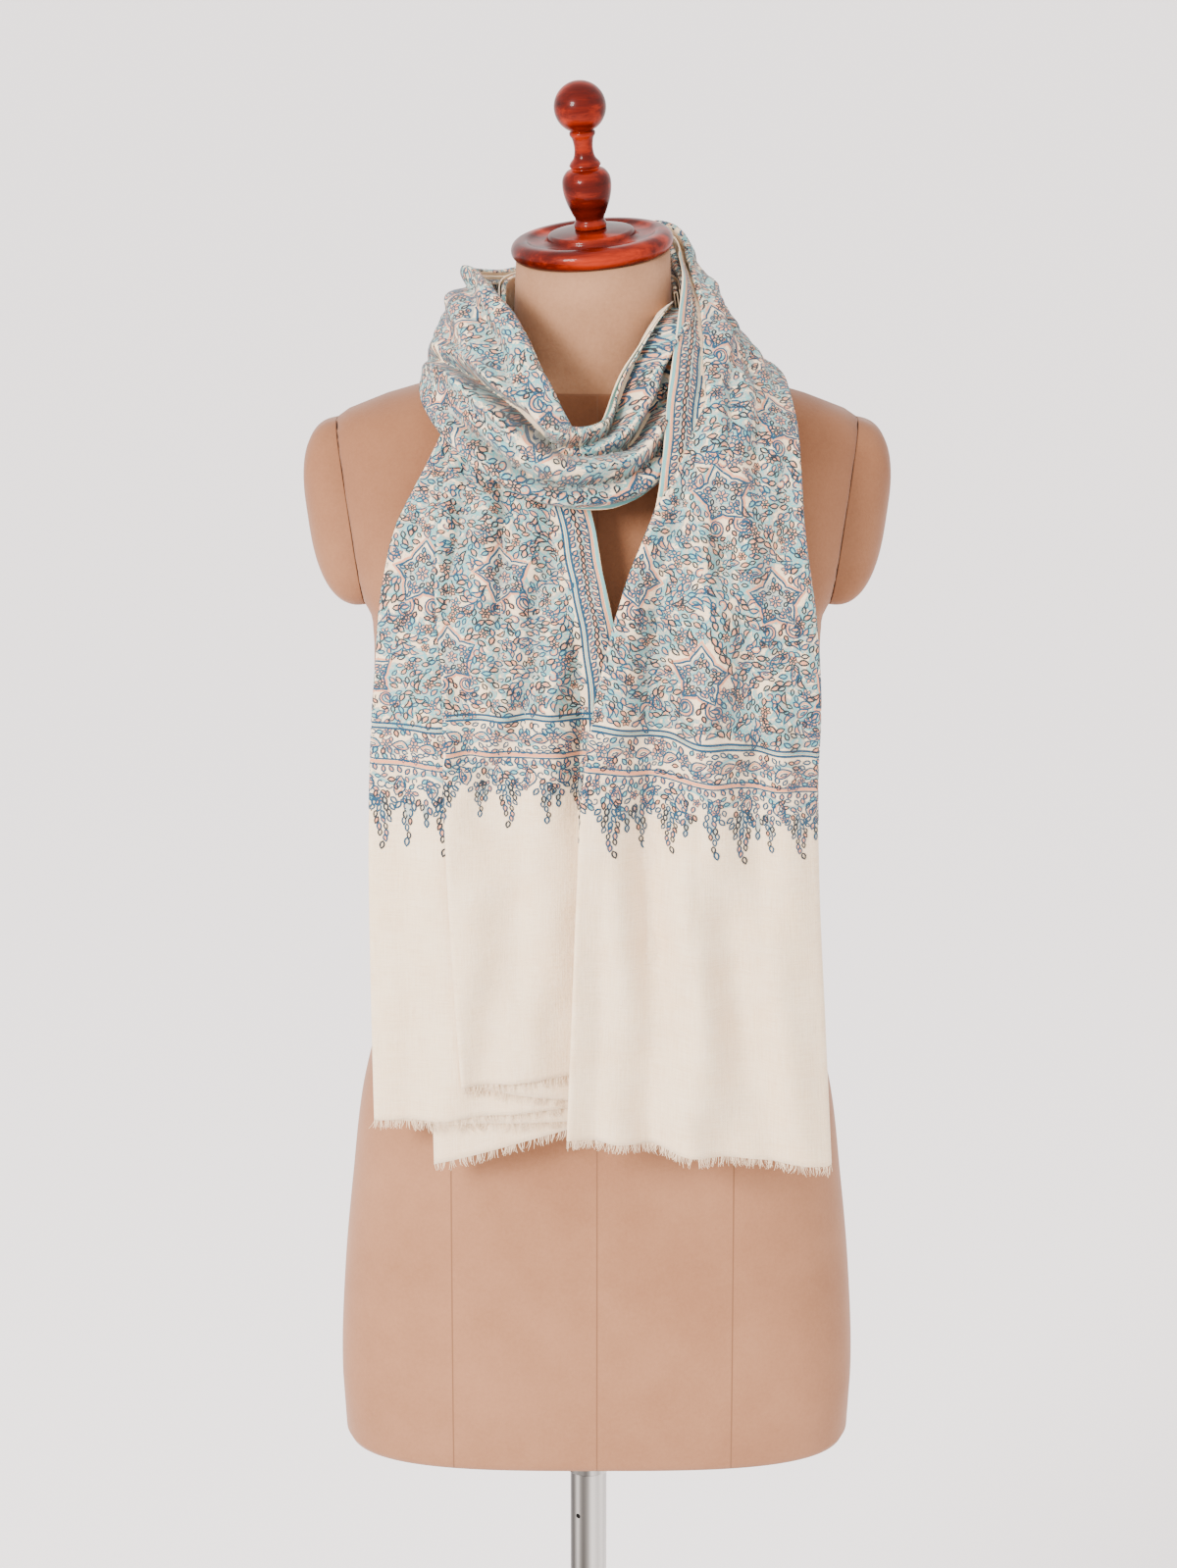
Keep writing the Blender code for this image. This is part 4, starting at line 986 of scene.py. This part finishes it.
def end_border(flat, u_range, blue_v, peach_v, tip_v):
    """Across the end: blue lines, a band of small paisleys, a peach line between blue ones, then
    leaves and drops, with the bunches and single strings of leaves that hang below them."""
    u = np.arange(*u_range, LINE_STEP)
    wobble = 0.0004 * np.sin(u / 0.007)
    for v, width, colour in (
            (blue_v + 0.0026, 0.00160, BLUE), (blue_v + 0.0008, 0.00080, AQUA),
            (blue_v - 0.0010, 0.00160, BLUE), (peach_v + 0.0019, 0.00100, BLUE),
            (peach_v, 0.00200, PEACH), (peach_v - 0.0019, 0.00100, BLUE)):
        flat.line(pairs(u, v + wobble), width, colour)
    middle = (blue_v + peach_v) / 2
    for v, sway, wave in ((middle, 0.0055, 0.0060), (peach_v - 0.010, 0.0045, 0.0075)):
        points = pairs(u, v + sway * np.sin(u / wave))
        flat.line(points + 0.0006, 0.0030, PALE)
        flat.line(points, 0.00090, AQUA)
    at = np.arange(*u_range, 0.0190) + rng.uniform(-0.0015, 0.0015)
    loose = rng.uniform(-0.3, 0.3, at.size)
    flat.add(paisley(0.0115), pairs(at, middle - 0.0010), 0.3 + loose)
    flat.add(rosette(6, 0.0042, BLUE), pairs(at + 0.0095, middle), loose)
    band_u, band_v = net(u_range, (peach_v + 0.0030, blue_v - 0.0030), 0.0052)
    clear = np.ones(band_u.size, dtype=bool)
    for x, reach in [(x, 0.0062) for x in at] + [(x + 0.0095, 0.0048) for x in at]:
        clear &= np.hypot(band_u - x, (band_v - middle) * 1.4) > reach
    scatter(flat, band_u[clear], band_v[clear], BORDER_LEAVES)
    at = np.arange(*u_range, 0.0056)
    places = pairs(at, peach_v - 0.0046) + rng.uniform(-0.0010, 0.0010, (at.size, 2))
    flat.add(blade(0.0046, 0.0026, BLUE, PEACH), places, rng.uniform(0.9, 2.2, at.size))
    fall = peach_v - tip_v
    u, v = net(u_range, (peach_v - fall * 0.56, peach_v - 0.0070), 0.0054)
    low = peach_v - fall * (0.36 + 0.16 * np.cos(math.tau * (u - 0.004) / BUNCH_APART) ** 2)
    scatter(flat, u[v > low], v[v > low], BORDER_LEAVES)
    at = np.arange(u_range[0] - 0.01, u_range[1], BUNCH_APART / 2)
    flat.add(paisley(0.0135), pairs(at + 0.0080, peach_v - 0.0150), 1.5 + 0.3 * np.sin(at / 0.009))
    for shift, rows, start, seed in BUNCHES:
        at = np.arange(u_range[0] - 0.01, u_range[1], BUNCH_APART) + shift * BUNCH_APART
        at = at + rng.uniform(-0.004, 0.004, at.size)
        sizes = rng.uniform(0.85, 1.08, at.size) * fall / 0.0500
        lean = -math.pi / 2 + rng.uniform(-0.12, 0.12, at.size)
        for strips in ([(PALE, *lens(0.0170, 0.0042, 5))], bunch(rows, seed)):
            flat.add(strips, pairs(at, peach_v - fall * start), lean, sizes)


def side_border(flat, v_range):
    """Down the long edge: the aqua overcast edge, a peach line, small motifs and blue lines."""
    v = np.arange(*v_range, LINE_STEP)
    wobble = 0.0003 * np.sin(v / 0.006)
    for u, width, colour in (
            (0.0015, 0.0022, AQUA), (0.0038, 0.00130, PEACH), (0.0054, 0.00100, BLUE),
            (0.0190, 0.00150, BLUE), (0.0208, 0.00080, AQUA), (0.0226, 0.00150, BLUE),
            (0.0122, 0.0060, PALE)):
        flat.line(pairs(u + wobble, v), width, colour)
    flat.line(pairs(0.0122 + 0.0036 * np.sin(v / 0.0050), v), 0.00080, AQUA)
    at = np.arange(*v_range, 0.0046)
    for u, turn, colour in ((0.0080, 0.7, BLUE), (0.0122, 1.5, CHARCOAL), (0.0164, 2.3, BLUE)):
        places = pairs(u, at) + rng.uniform(-0.0006, 0.0006, (at.size, 2))
        flat.add(blade(0.0048, 0.0026, colour, PEACH), places, turn)


def round_fold(run, layer, other, past, half, thick):
    """How a strip goes on round a fold: its angle, and its steps in across and in depth, at a
    distance past the start of the turn towards the layer other."""
    drop_back = run.depths[layer] - run.depths[other]
    radius = (TURN * half + abs(drop_back) / 2 * thick) / 2
    angle = np.maximum(past, 0.0) * half / radius
    turned = np.minimum(angle, math.pi)
    return angle, TURN * np.sin(turned), -drop_back * (1 - np.cos(turned)) / 2


def stitch(run, layer, flat, anchor, edge=None, inside=None, face=1):
    """Lays flat embroidery on one layer of a run, and sorts it by stretch.

    u runs from edge_a ("a"), from edge_b ("b"), or from the layer's middle at anchor (None).
    inside(place, across, folds) says where the layer shows, if not everywhere.
    face is 1 for the side that faces out and -1 for the side towards the body.
    """
    quads, threads = flat
    u, v = quads.reshape(-1, 2).T
    place = v if run.hem < 0 else run.at[-1] - v
    half, thick = through(run.at, run.path[:, 6:8], place).T
    folds = folds_at(run, place)
    if edge == "b":
        raw = folds[:, -1] + u / half
    else:
        raw = (folds[:, 0] if edge == "a" else 0.0) + (anchor - u) / half
    start, end = folds[:, layer], folds[:, layer + 1]
    way = np.sign(end - start)
    across = raw.copy()
    depth = np.full_like(place, run.depths[layer])
    angle = np.zeros_like(place)
    tilt_way = np.zeros_like(place)
    shows = (place > 0) & (place < run.at[-1])
    if inside:
        shows &= inside(place, raw, folds)
    for fold, other, turn_way in ((start, layer - 1, -way), (end, layer + 1, way)):
        past = (raw - fold) * turn_way + TURN
        if other < 0 or other == len(run.depths):
            shows &= past < TURN
            continue
        if (run.depths[other] - run.depths[layer]) * face > 0:
            shows &= past < 0       # this fold turns the stitched face inwards
            continue
        turned, step, sink = round_fold(run, layer, other, past, half, thick)
        on_turn = past > 0
        across = np.where(on_turn, fold - turn_way * TURN + turn_way * step, across)
        depth = np.where(on_turn, run.depths[layer] + sink, depth)
        angle = np.where(on_turn, turned, angle)
        tilt_way = np.where(on_turn, turn_way, tilt_way)
        shows &= turned < LAST_TURN
    share = np.clip((raw - start) / (end - start), 0, 1)
    drop = run.drops[layer] + (run.drops[layer + 1] - run.drops[layer]) * share
    keep = shows.reshape(-1, 4).all(axis=1)
    threads = threads[keep]
    place, across, depth, drop, angle, tilt_way = (
        values[keep.repeat(4)] for values in (place, across, depth, drop, angle, tilt_way))
    points = surface(run, place, across, depth, drop)
    over = surface(run, place, across + PROBE / 0.05, depth, drop) - points
    ahead = surface(run, place + PROBE, across, depth, drop) - points
    normal = np.cross(ahead, over)
    normal /= np.linalg.norm(normal, axis=1)[:, None] + TINY
    outward = through(run.at, run.path[:, 3:6], place)
    normal *= np.sign((normal * outward).sum(axis=1))[:, None]
    sideways = over / (np.linalg.norm(over, axis=1)[:, None] + TINY) * tilt_way[:, None]
    normal = normal * np.cos(angle)[:, None] + sideways * np.sin(angle)[:, None]
    lift = CLOTH / 2 + THREAD_LIFT * THREAD_RISE[threads].repeat(4)
    points += face * normal * lift[:, None]
    middle = place.reshape(-1, 4).mean(axis=1)
    for of_run, name, low, high in STRETCHES:
        if of_run is run:
            here = (middle >= low) & (middle < high)
            stitched[name].append((points.reshape(-1, 4, 3)[here], threads[here]))


def embroidery_piece(name, parts):
    """All the embroidery on one stretch, as one piece."""
    quads, threads = (np.concatenate(values) for values in zip(*parts))
    mesh = new_mesh(name, quads, np.arange(len(quads) * 4).reshape(-1, 4), smooth=False)
    mesh.polygons.foreach_set("material_index", threads[: len(mesh.polygons)])
    return place_piece(name, mesh, THREADS, "cloth")


RIGHT_LENGTH, LEFT_LENGTH = RIGHT.at[-1], LEFT.at[-1]
STRETCHES = (
    (LEFT, "left_tail", 0.0, LEFT_LENGTH),
    (INNER, "inner_wrap", 0.0, INNER.at[-1]),
    (RIGHT, "front_loop", 0.0, LOOP_END),
    (RIGHT, "outer_wrap", LOOP_END, WRAP_END),
    (RIGHT, "right_tail", WRAP_END, RIGHT_LENGTH),
)
stitched = {name: [] for _, name, _, _ in STRETCHES}

# The right run: its front layer, then the long edge that lies over it.
front, front_u = Flat(), (FRONT_MIDDLE - 0.098, FRONT_MIDDLE + 0.098)
field(front, front_u, (0.2990, RIGHT_LENGTH))
end_border(front, front_u, 0.296, 0.270, 0.220)
stitch(RIGHT, 2, front.done(), FRONT_MIDDLE)

edge = Flat()
side_border(edge, (0.22, RIGHT_LENGTH))
field(edge, (0.026, 0.070), (0.300, RIGHT_LENGTH), 0.030)
stitch(
    RIGHT, 0, edge.done(), 0.0, "a",
    lambda place, across, folds: across > np.minimum(folds[:, 2], 0.94))

# The left tail: its front layer, then the layer that shows beside it.
nearer = Flat()
side_border(nearer, (0.205, LEFT_LENGTH))
field(nearer, (0.026, 0.135), (0.2750, LEFT_LENGTH), 0.030)
end_border(nearer, (0.0, 0.135), 0.272, 0.247, 0.200)
stitch(LEFT, 0, nearer.done(), 0.0, "a")

farther, farther_u = Flat(), (LEFT_MIDDLE - 0.090, LEFT_MIDDLE + 0.090)
field(farther, farther_u, (0.2750, LEFT_LENGTH))
end_border(farther, farther_u, 0.272, 0.247, 0.195)
stitch(
    LEFT, 2, farther.done(), LEFT_MIDDLE, None,
    lambda place, across, folds: across < folds[:, 1] + 0.08)

around = Flat()
field(around, (0.0, 0.056), (0.0, INNER.at[-1]))
stitch(INNER, 0, around.done(), 0.028)
stitch(INNER, 1, around.done(), 0.028, None, lambda place, across, folds: across > 0.7)

# The rims of the bundle's back layers, and the sides that face the neck and the body.
behind = Flat()
field(behind, (0.0, 0.10), (0.45, RIGHT_LENGTH))
stitch(RIGHT, 3, behind.done(), 0.05, None, lambda place, across, folds: across > 0.5)
stitch(RIGHT, 4, front.outlines(), FRONT_MIDDLE, None, lambda place, across, folds: place > 0.2, -1)
stitch(LEFT, 3, farther.outlines(), LEFT_MIDDLE, None, lambda place, across, folds: across < -0.4, -1)
stitch(LEFT, 4, farther.outlines(), LEFT_MIDDLE, face=-1)
under = Flat()
side_border(under, (RIGHT_LENGTH - 0.23, RIGHT_LENGTH - 0.08))
stitch(RIGHT, 4, under.done(), 0.0, "b", lambda place, across, folds: across < -0.8)

embroidery = {name: embroidery_piece(f"embroidery_{name}", parts) for name, parts in stitched.items()}


# ---- the dress form ---------------------------------------------------------------------------
def torso_points(heights, sides):
    """Rounded-square rings of the torso and neck, flat at the two armholes."""
    table = np.asarray(TORSO)
    rows = through(table[:, 0], table[:, 1:], heights)
    angle = np.arange(sides) * math.tau / sides
    c, s = np.cos(angle), np.sin(angle)
    half_width, half_depth, centre_y, square = (rows[:, k][:, None] for k in range(4))
    x = half_width * np.sign(c) * np.abs(c) ** (2 / square)
    y = half_depth * np.sign(s) * np.abs(s) ** (2 / square)
    level = heights[:, None]
    tilted = np.maximum((level - TILT_START) / (NECK_TOP - TILT_START), 0)
    neckward = np.clip((level - NECK_BASE) / NECK_BLEND, 0, 1)
    z = level + tilted * (x * math.tan(CAP_ROLL) + y * math.tan(CAP_TILT))
    middle = TORSO_CENTRE_X + (NECK_CENTRE_X - TORSO_CENTRE_X) * neckward
    points = np.stack((middle + x, centre_y + y, z + 0 * x), axis=-1)
    for side in (-1, 1):
        low, _, out = armhole_frame(side)
        beside = (points[..., 2] > ARMHOLE_SPAN[0]) & (points[..., 2] < ARMHOLE_SPAN[1])
        beyond = np.maximum((points - low) @ out, 0) * beside
        points = points - beyond[..., None] * out
    return points


def armhole_frame(side):
    """The armhole plane of one side: its low point, its way up and its way out."""
    low = np.array((TORSO_CENTRE_X + side * ARMHOLE_LOW[0], 0.0, ARMHOLE_LOW[1]))
    high = np.array((TORSO_CENTRE_X + side * ARMHOLE_HIGH[0], 0.0, ARMHOLE_HIGH[1]))
    up = (high - low) / np.linalg.norm(high - low)
    out = np.cross(np.array((0.0, 1.0, 0.0)), up) * side
    return low, up, out


def capped(name, rings, material, slot, node):
    """A closed surface of rings, with a fan at each end."""
    count, sides = rings.shape[:2]
    ends = np.stack((np.broadcast_to(rings[0].mean(axis=0), (sides, 3)),
                     np.broadcast_to(rings[-1].mean(axis=0), (sides, 3))))
    points = np.concatenate((ends[:1], rings, ends[1:]))
    faces = grid_faces(count + 2, sides, closed=True)
    mesh = new_mesh(name, points, faces)
    return place_piece(name, mesh, (material,), slot, node)


def build_form():
    """The padded torso and neck, and the two arm caps."""
    table = np.asarray(TORSO)[:, 0]
    heights = np.concatenate((table[:3], np.linspace(table[3], table[-3], TORSO_LEVELS), table[-2:]))
    capped("torso", torso_points(np.unique(heights), TORSO_SIDES), SUEDE, "suede", "form_torso")
    for side, node in ((-1, "form_arm_cap_left"), (1, "form_arm_cap_right")):
        low, up, out = armhole_frame(side)
        outline = armhole_ring(112)
        middle = (outline.max(axis=0) + outline.min(axis=0)) / 2
        rings = []
        for share in (0.0, 0.02, 0.06, *np.sin(np.linspace(0.08, 1.0, 22) * math.pi / 2) * 0.995):
            size = (1 - share ** ARM_CAP_FULLNESS) ** (1 / ARM_CAP_FULLNESS)
            ring = middle + (outline - middle) * size
            place = low + out * (GAP + share * ARM_CAP_REACH) + up * ring[:, :1]
            rings.append(place + np.array((0.0, 1.0, 0.0)) * ring[:, 1:])
        capped(node.replace("form_", ""), np.array(rings), SUEDE, "suede", node)


def armhole_ring(count):
    """The armhole's outline in its plane as (rise, across), from where the plane meets each level."""
    table = np.asarray(TORSO)
    rises = np.linspace(-0.02, 0.16, 400)
    lean = (ARMHOLE_HIGH[0] - ARMHOLE_LOW[0]) / (ARMHOLE_HIGH[1] - ARMHOLE_LOW[1])
    heights = ARMHOLE_LOW[1] + rises / math.hypot(1, lean)
    reach = ARMHOLE_LOW[0] + (heights - ARMHOLE_LOW[1]) * lean
    width, depth, middle, square = through(table[:, 0], table[:, 1:], heights).T
    half = depth * np.maximum(0, 1 - (reach / width) ** square) ** (1 / square)
    cut = rises[half > 0]
    low, high = cut[0], cut[-1]
    angle = np.arange(count) * math.tau / count
    rise = (low + high) / 2 + (high - low) / 2 * np.sin(angle)
    across = np.sign(np.cos(angle)) * np.interp(rise, rises, half) + np.interp(rise, rises, middle)
    return np.stack((rise, across), axis=1)


def turned_piece(name, profile, steps, sides, node, seat, tilt):
    """Turned wood: a smooth profile of (radius, height) swept round."""
    profile = np.asarray(profile)
    at = np.concatenate(([0.0], np.cumsum(np.linalg.norm(np.diff(profile, axis=0), axis=1))))
    radius, height = through(at, profile, np.linspace(0, at[-1], steps)).T
    radius = np.maximum(radius, 0.00005)
    angle = np.arange(sides) * math.tau / sides
    rings = np.stack((
        radius[:, None] * np.cos(angle), radius[:, None] * np.sin(angle),
        height[:, None] + 0 * angle), axis=-1)
    piece = capped(name, rings, WOOD, "wood", node)
    piece.rotation_euler = tilt
    piece.location = seat
    return piece


def arc(centre_r, centre_h, radius, start, end, steps):
    """Profile points on an arc, angles in degrees from the outward horizontal."""
    angle = np.radians(np.linspace(start, end, steps))
    return [(centre_r + radius * math.cos(a), centre_h + radius * math.sin(a)) for a in angle]


def build_wood():
    """The neck's disc and its finial, tilted as they sit."""
    tilt = (CAP_TILT, -CAP_ROLL, 0.0)
    seat = Vector((NECK_CENTRE_X, 0.0, NECK_TOP + GAP))
    disc = [(0.0440, 0.0), (0.0470, 0.0)] + arc(0.0485, 0.0070, 0.0070, -70, 90, 12)
    disc += [(0.0450, 0.0138), (0.0420, 0.0120), (0.0365, 0.0108), (0.0320, 0.0112), (0.0302, 0.0128)]
    disc += arc(0.0270, 0.0135, 0.0030, 10, 90, 5) + [(0.0180, 0.0178), (0.0125, FINIAL_SEAT)]
    turned_piece("neck_cap", disc, 90, 104, "form_neck_cap", seat, tilt)
    profile = [(0.0107, 0.0), (0.0110, 0.0030), (0.0098, 0.0060)]
    profile += [(0.0118, 0.0110), (0.0146, 0.0180), (0.0163, 0.0250), (0.0167, 0.0300), (0.0160, 0.0350)]
    profile += [(0.0128, 0.0395), (0.0096, 0.0415), (0.0108, 0.0430), (0.0100, 0.0448)]
    profile += [(0.0076, 0.0480), (0.0064, 0.0530), (0.0066, 0.0580), (0.0076, 0.0620)]
    profile += [(0.0088, 0.0640), (0.0084, 0.0662)]
    profile += arc(0.0, 0.0826, 0.0177, -66, 90, 16)
    finial = turned_piece("finial", profile, 140, 72, "form_finial", seat, tilt)
    finial.location = seat + finial.rotation_euler.to_matrix() @ Vector((0, 0, FINIAL_SEAT + GAP))


build_form()
build_wood()
for node, material in (("form_pole", STEEL), ("form_collar", STEEL), ("form_base", DARK)):
    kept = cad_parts[node]
    for k in range(len(kept.material_slots)):
        kept.material_slots[k].material = material


# ---- floor, light and camera --------------------------------------------------------------------
FLOOR_REACH = 90.0
floor_mesh = new_mesh(
    "floor", [(x * FLOOR_REACH, y * FLOOR_REACH, -0.0006) for x, y in ((-1, -1), (1, -1), (1, 1), (-1, 1))],
    [(0, 1, 2, 3)])
floor = add_object("floor", floor_mesh)
floor.data.materials.append(
    Finish("pale_floor", srgb(252, 247, 246), 0.9, Specular_IOR_Level=0.1).material)

world = bpy.data.worlds.new("studio")
bpy.context.scene.world = world
world.use_nodes = True
backdrop = world.node_tree.nodes["Background"]
backdrop.inputs["Color"].default_value = srgb(252, 248, 247)
backdrop.inputs["Strength"].default_value = 2.60

KEY_PLACE = Vector((-1.6, -2.3, 2.3))
KEY_TARGET = Vector((0.0, 0.0, 1.2))
lamp = bpy.data.lights.new("key", "AREA")
lamp.size = 0.8
lamp.energy = 185.0
lamp.color = (1.0, 0.97, 0.93)
key = add_object("key", lamp)
key.location = KEY_PLACE
key.rotation_euler = (KEY_TARGET - KEY_PLACE).to_track_quat("-Z", "Y").to_euler()

camera = add_object("camera", bpy.data.cameras.new("camera"))
camera.data.lens = 85
camera.data.sensor_width = 36
camera.location = (0.0, -2.5307, 1.7781)
camera.rotation_euler = (math.radians(75), 0.0, 0.0)
bpy.context.scene.camera = camera
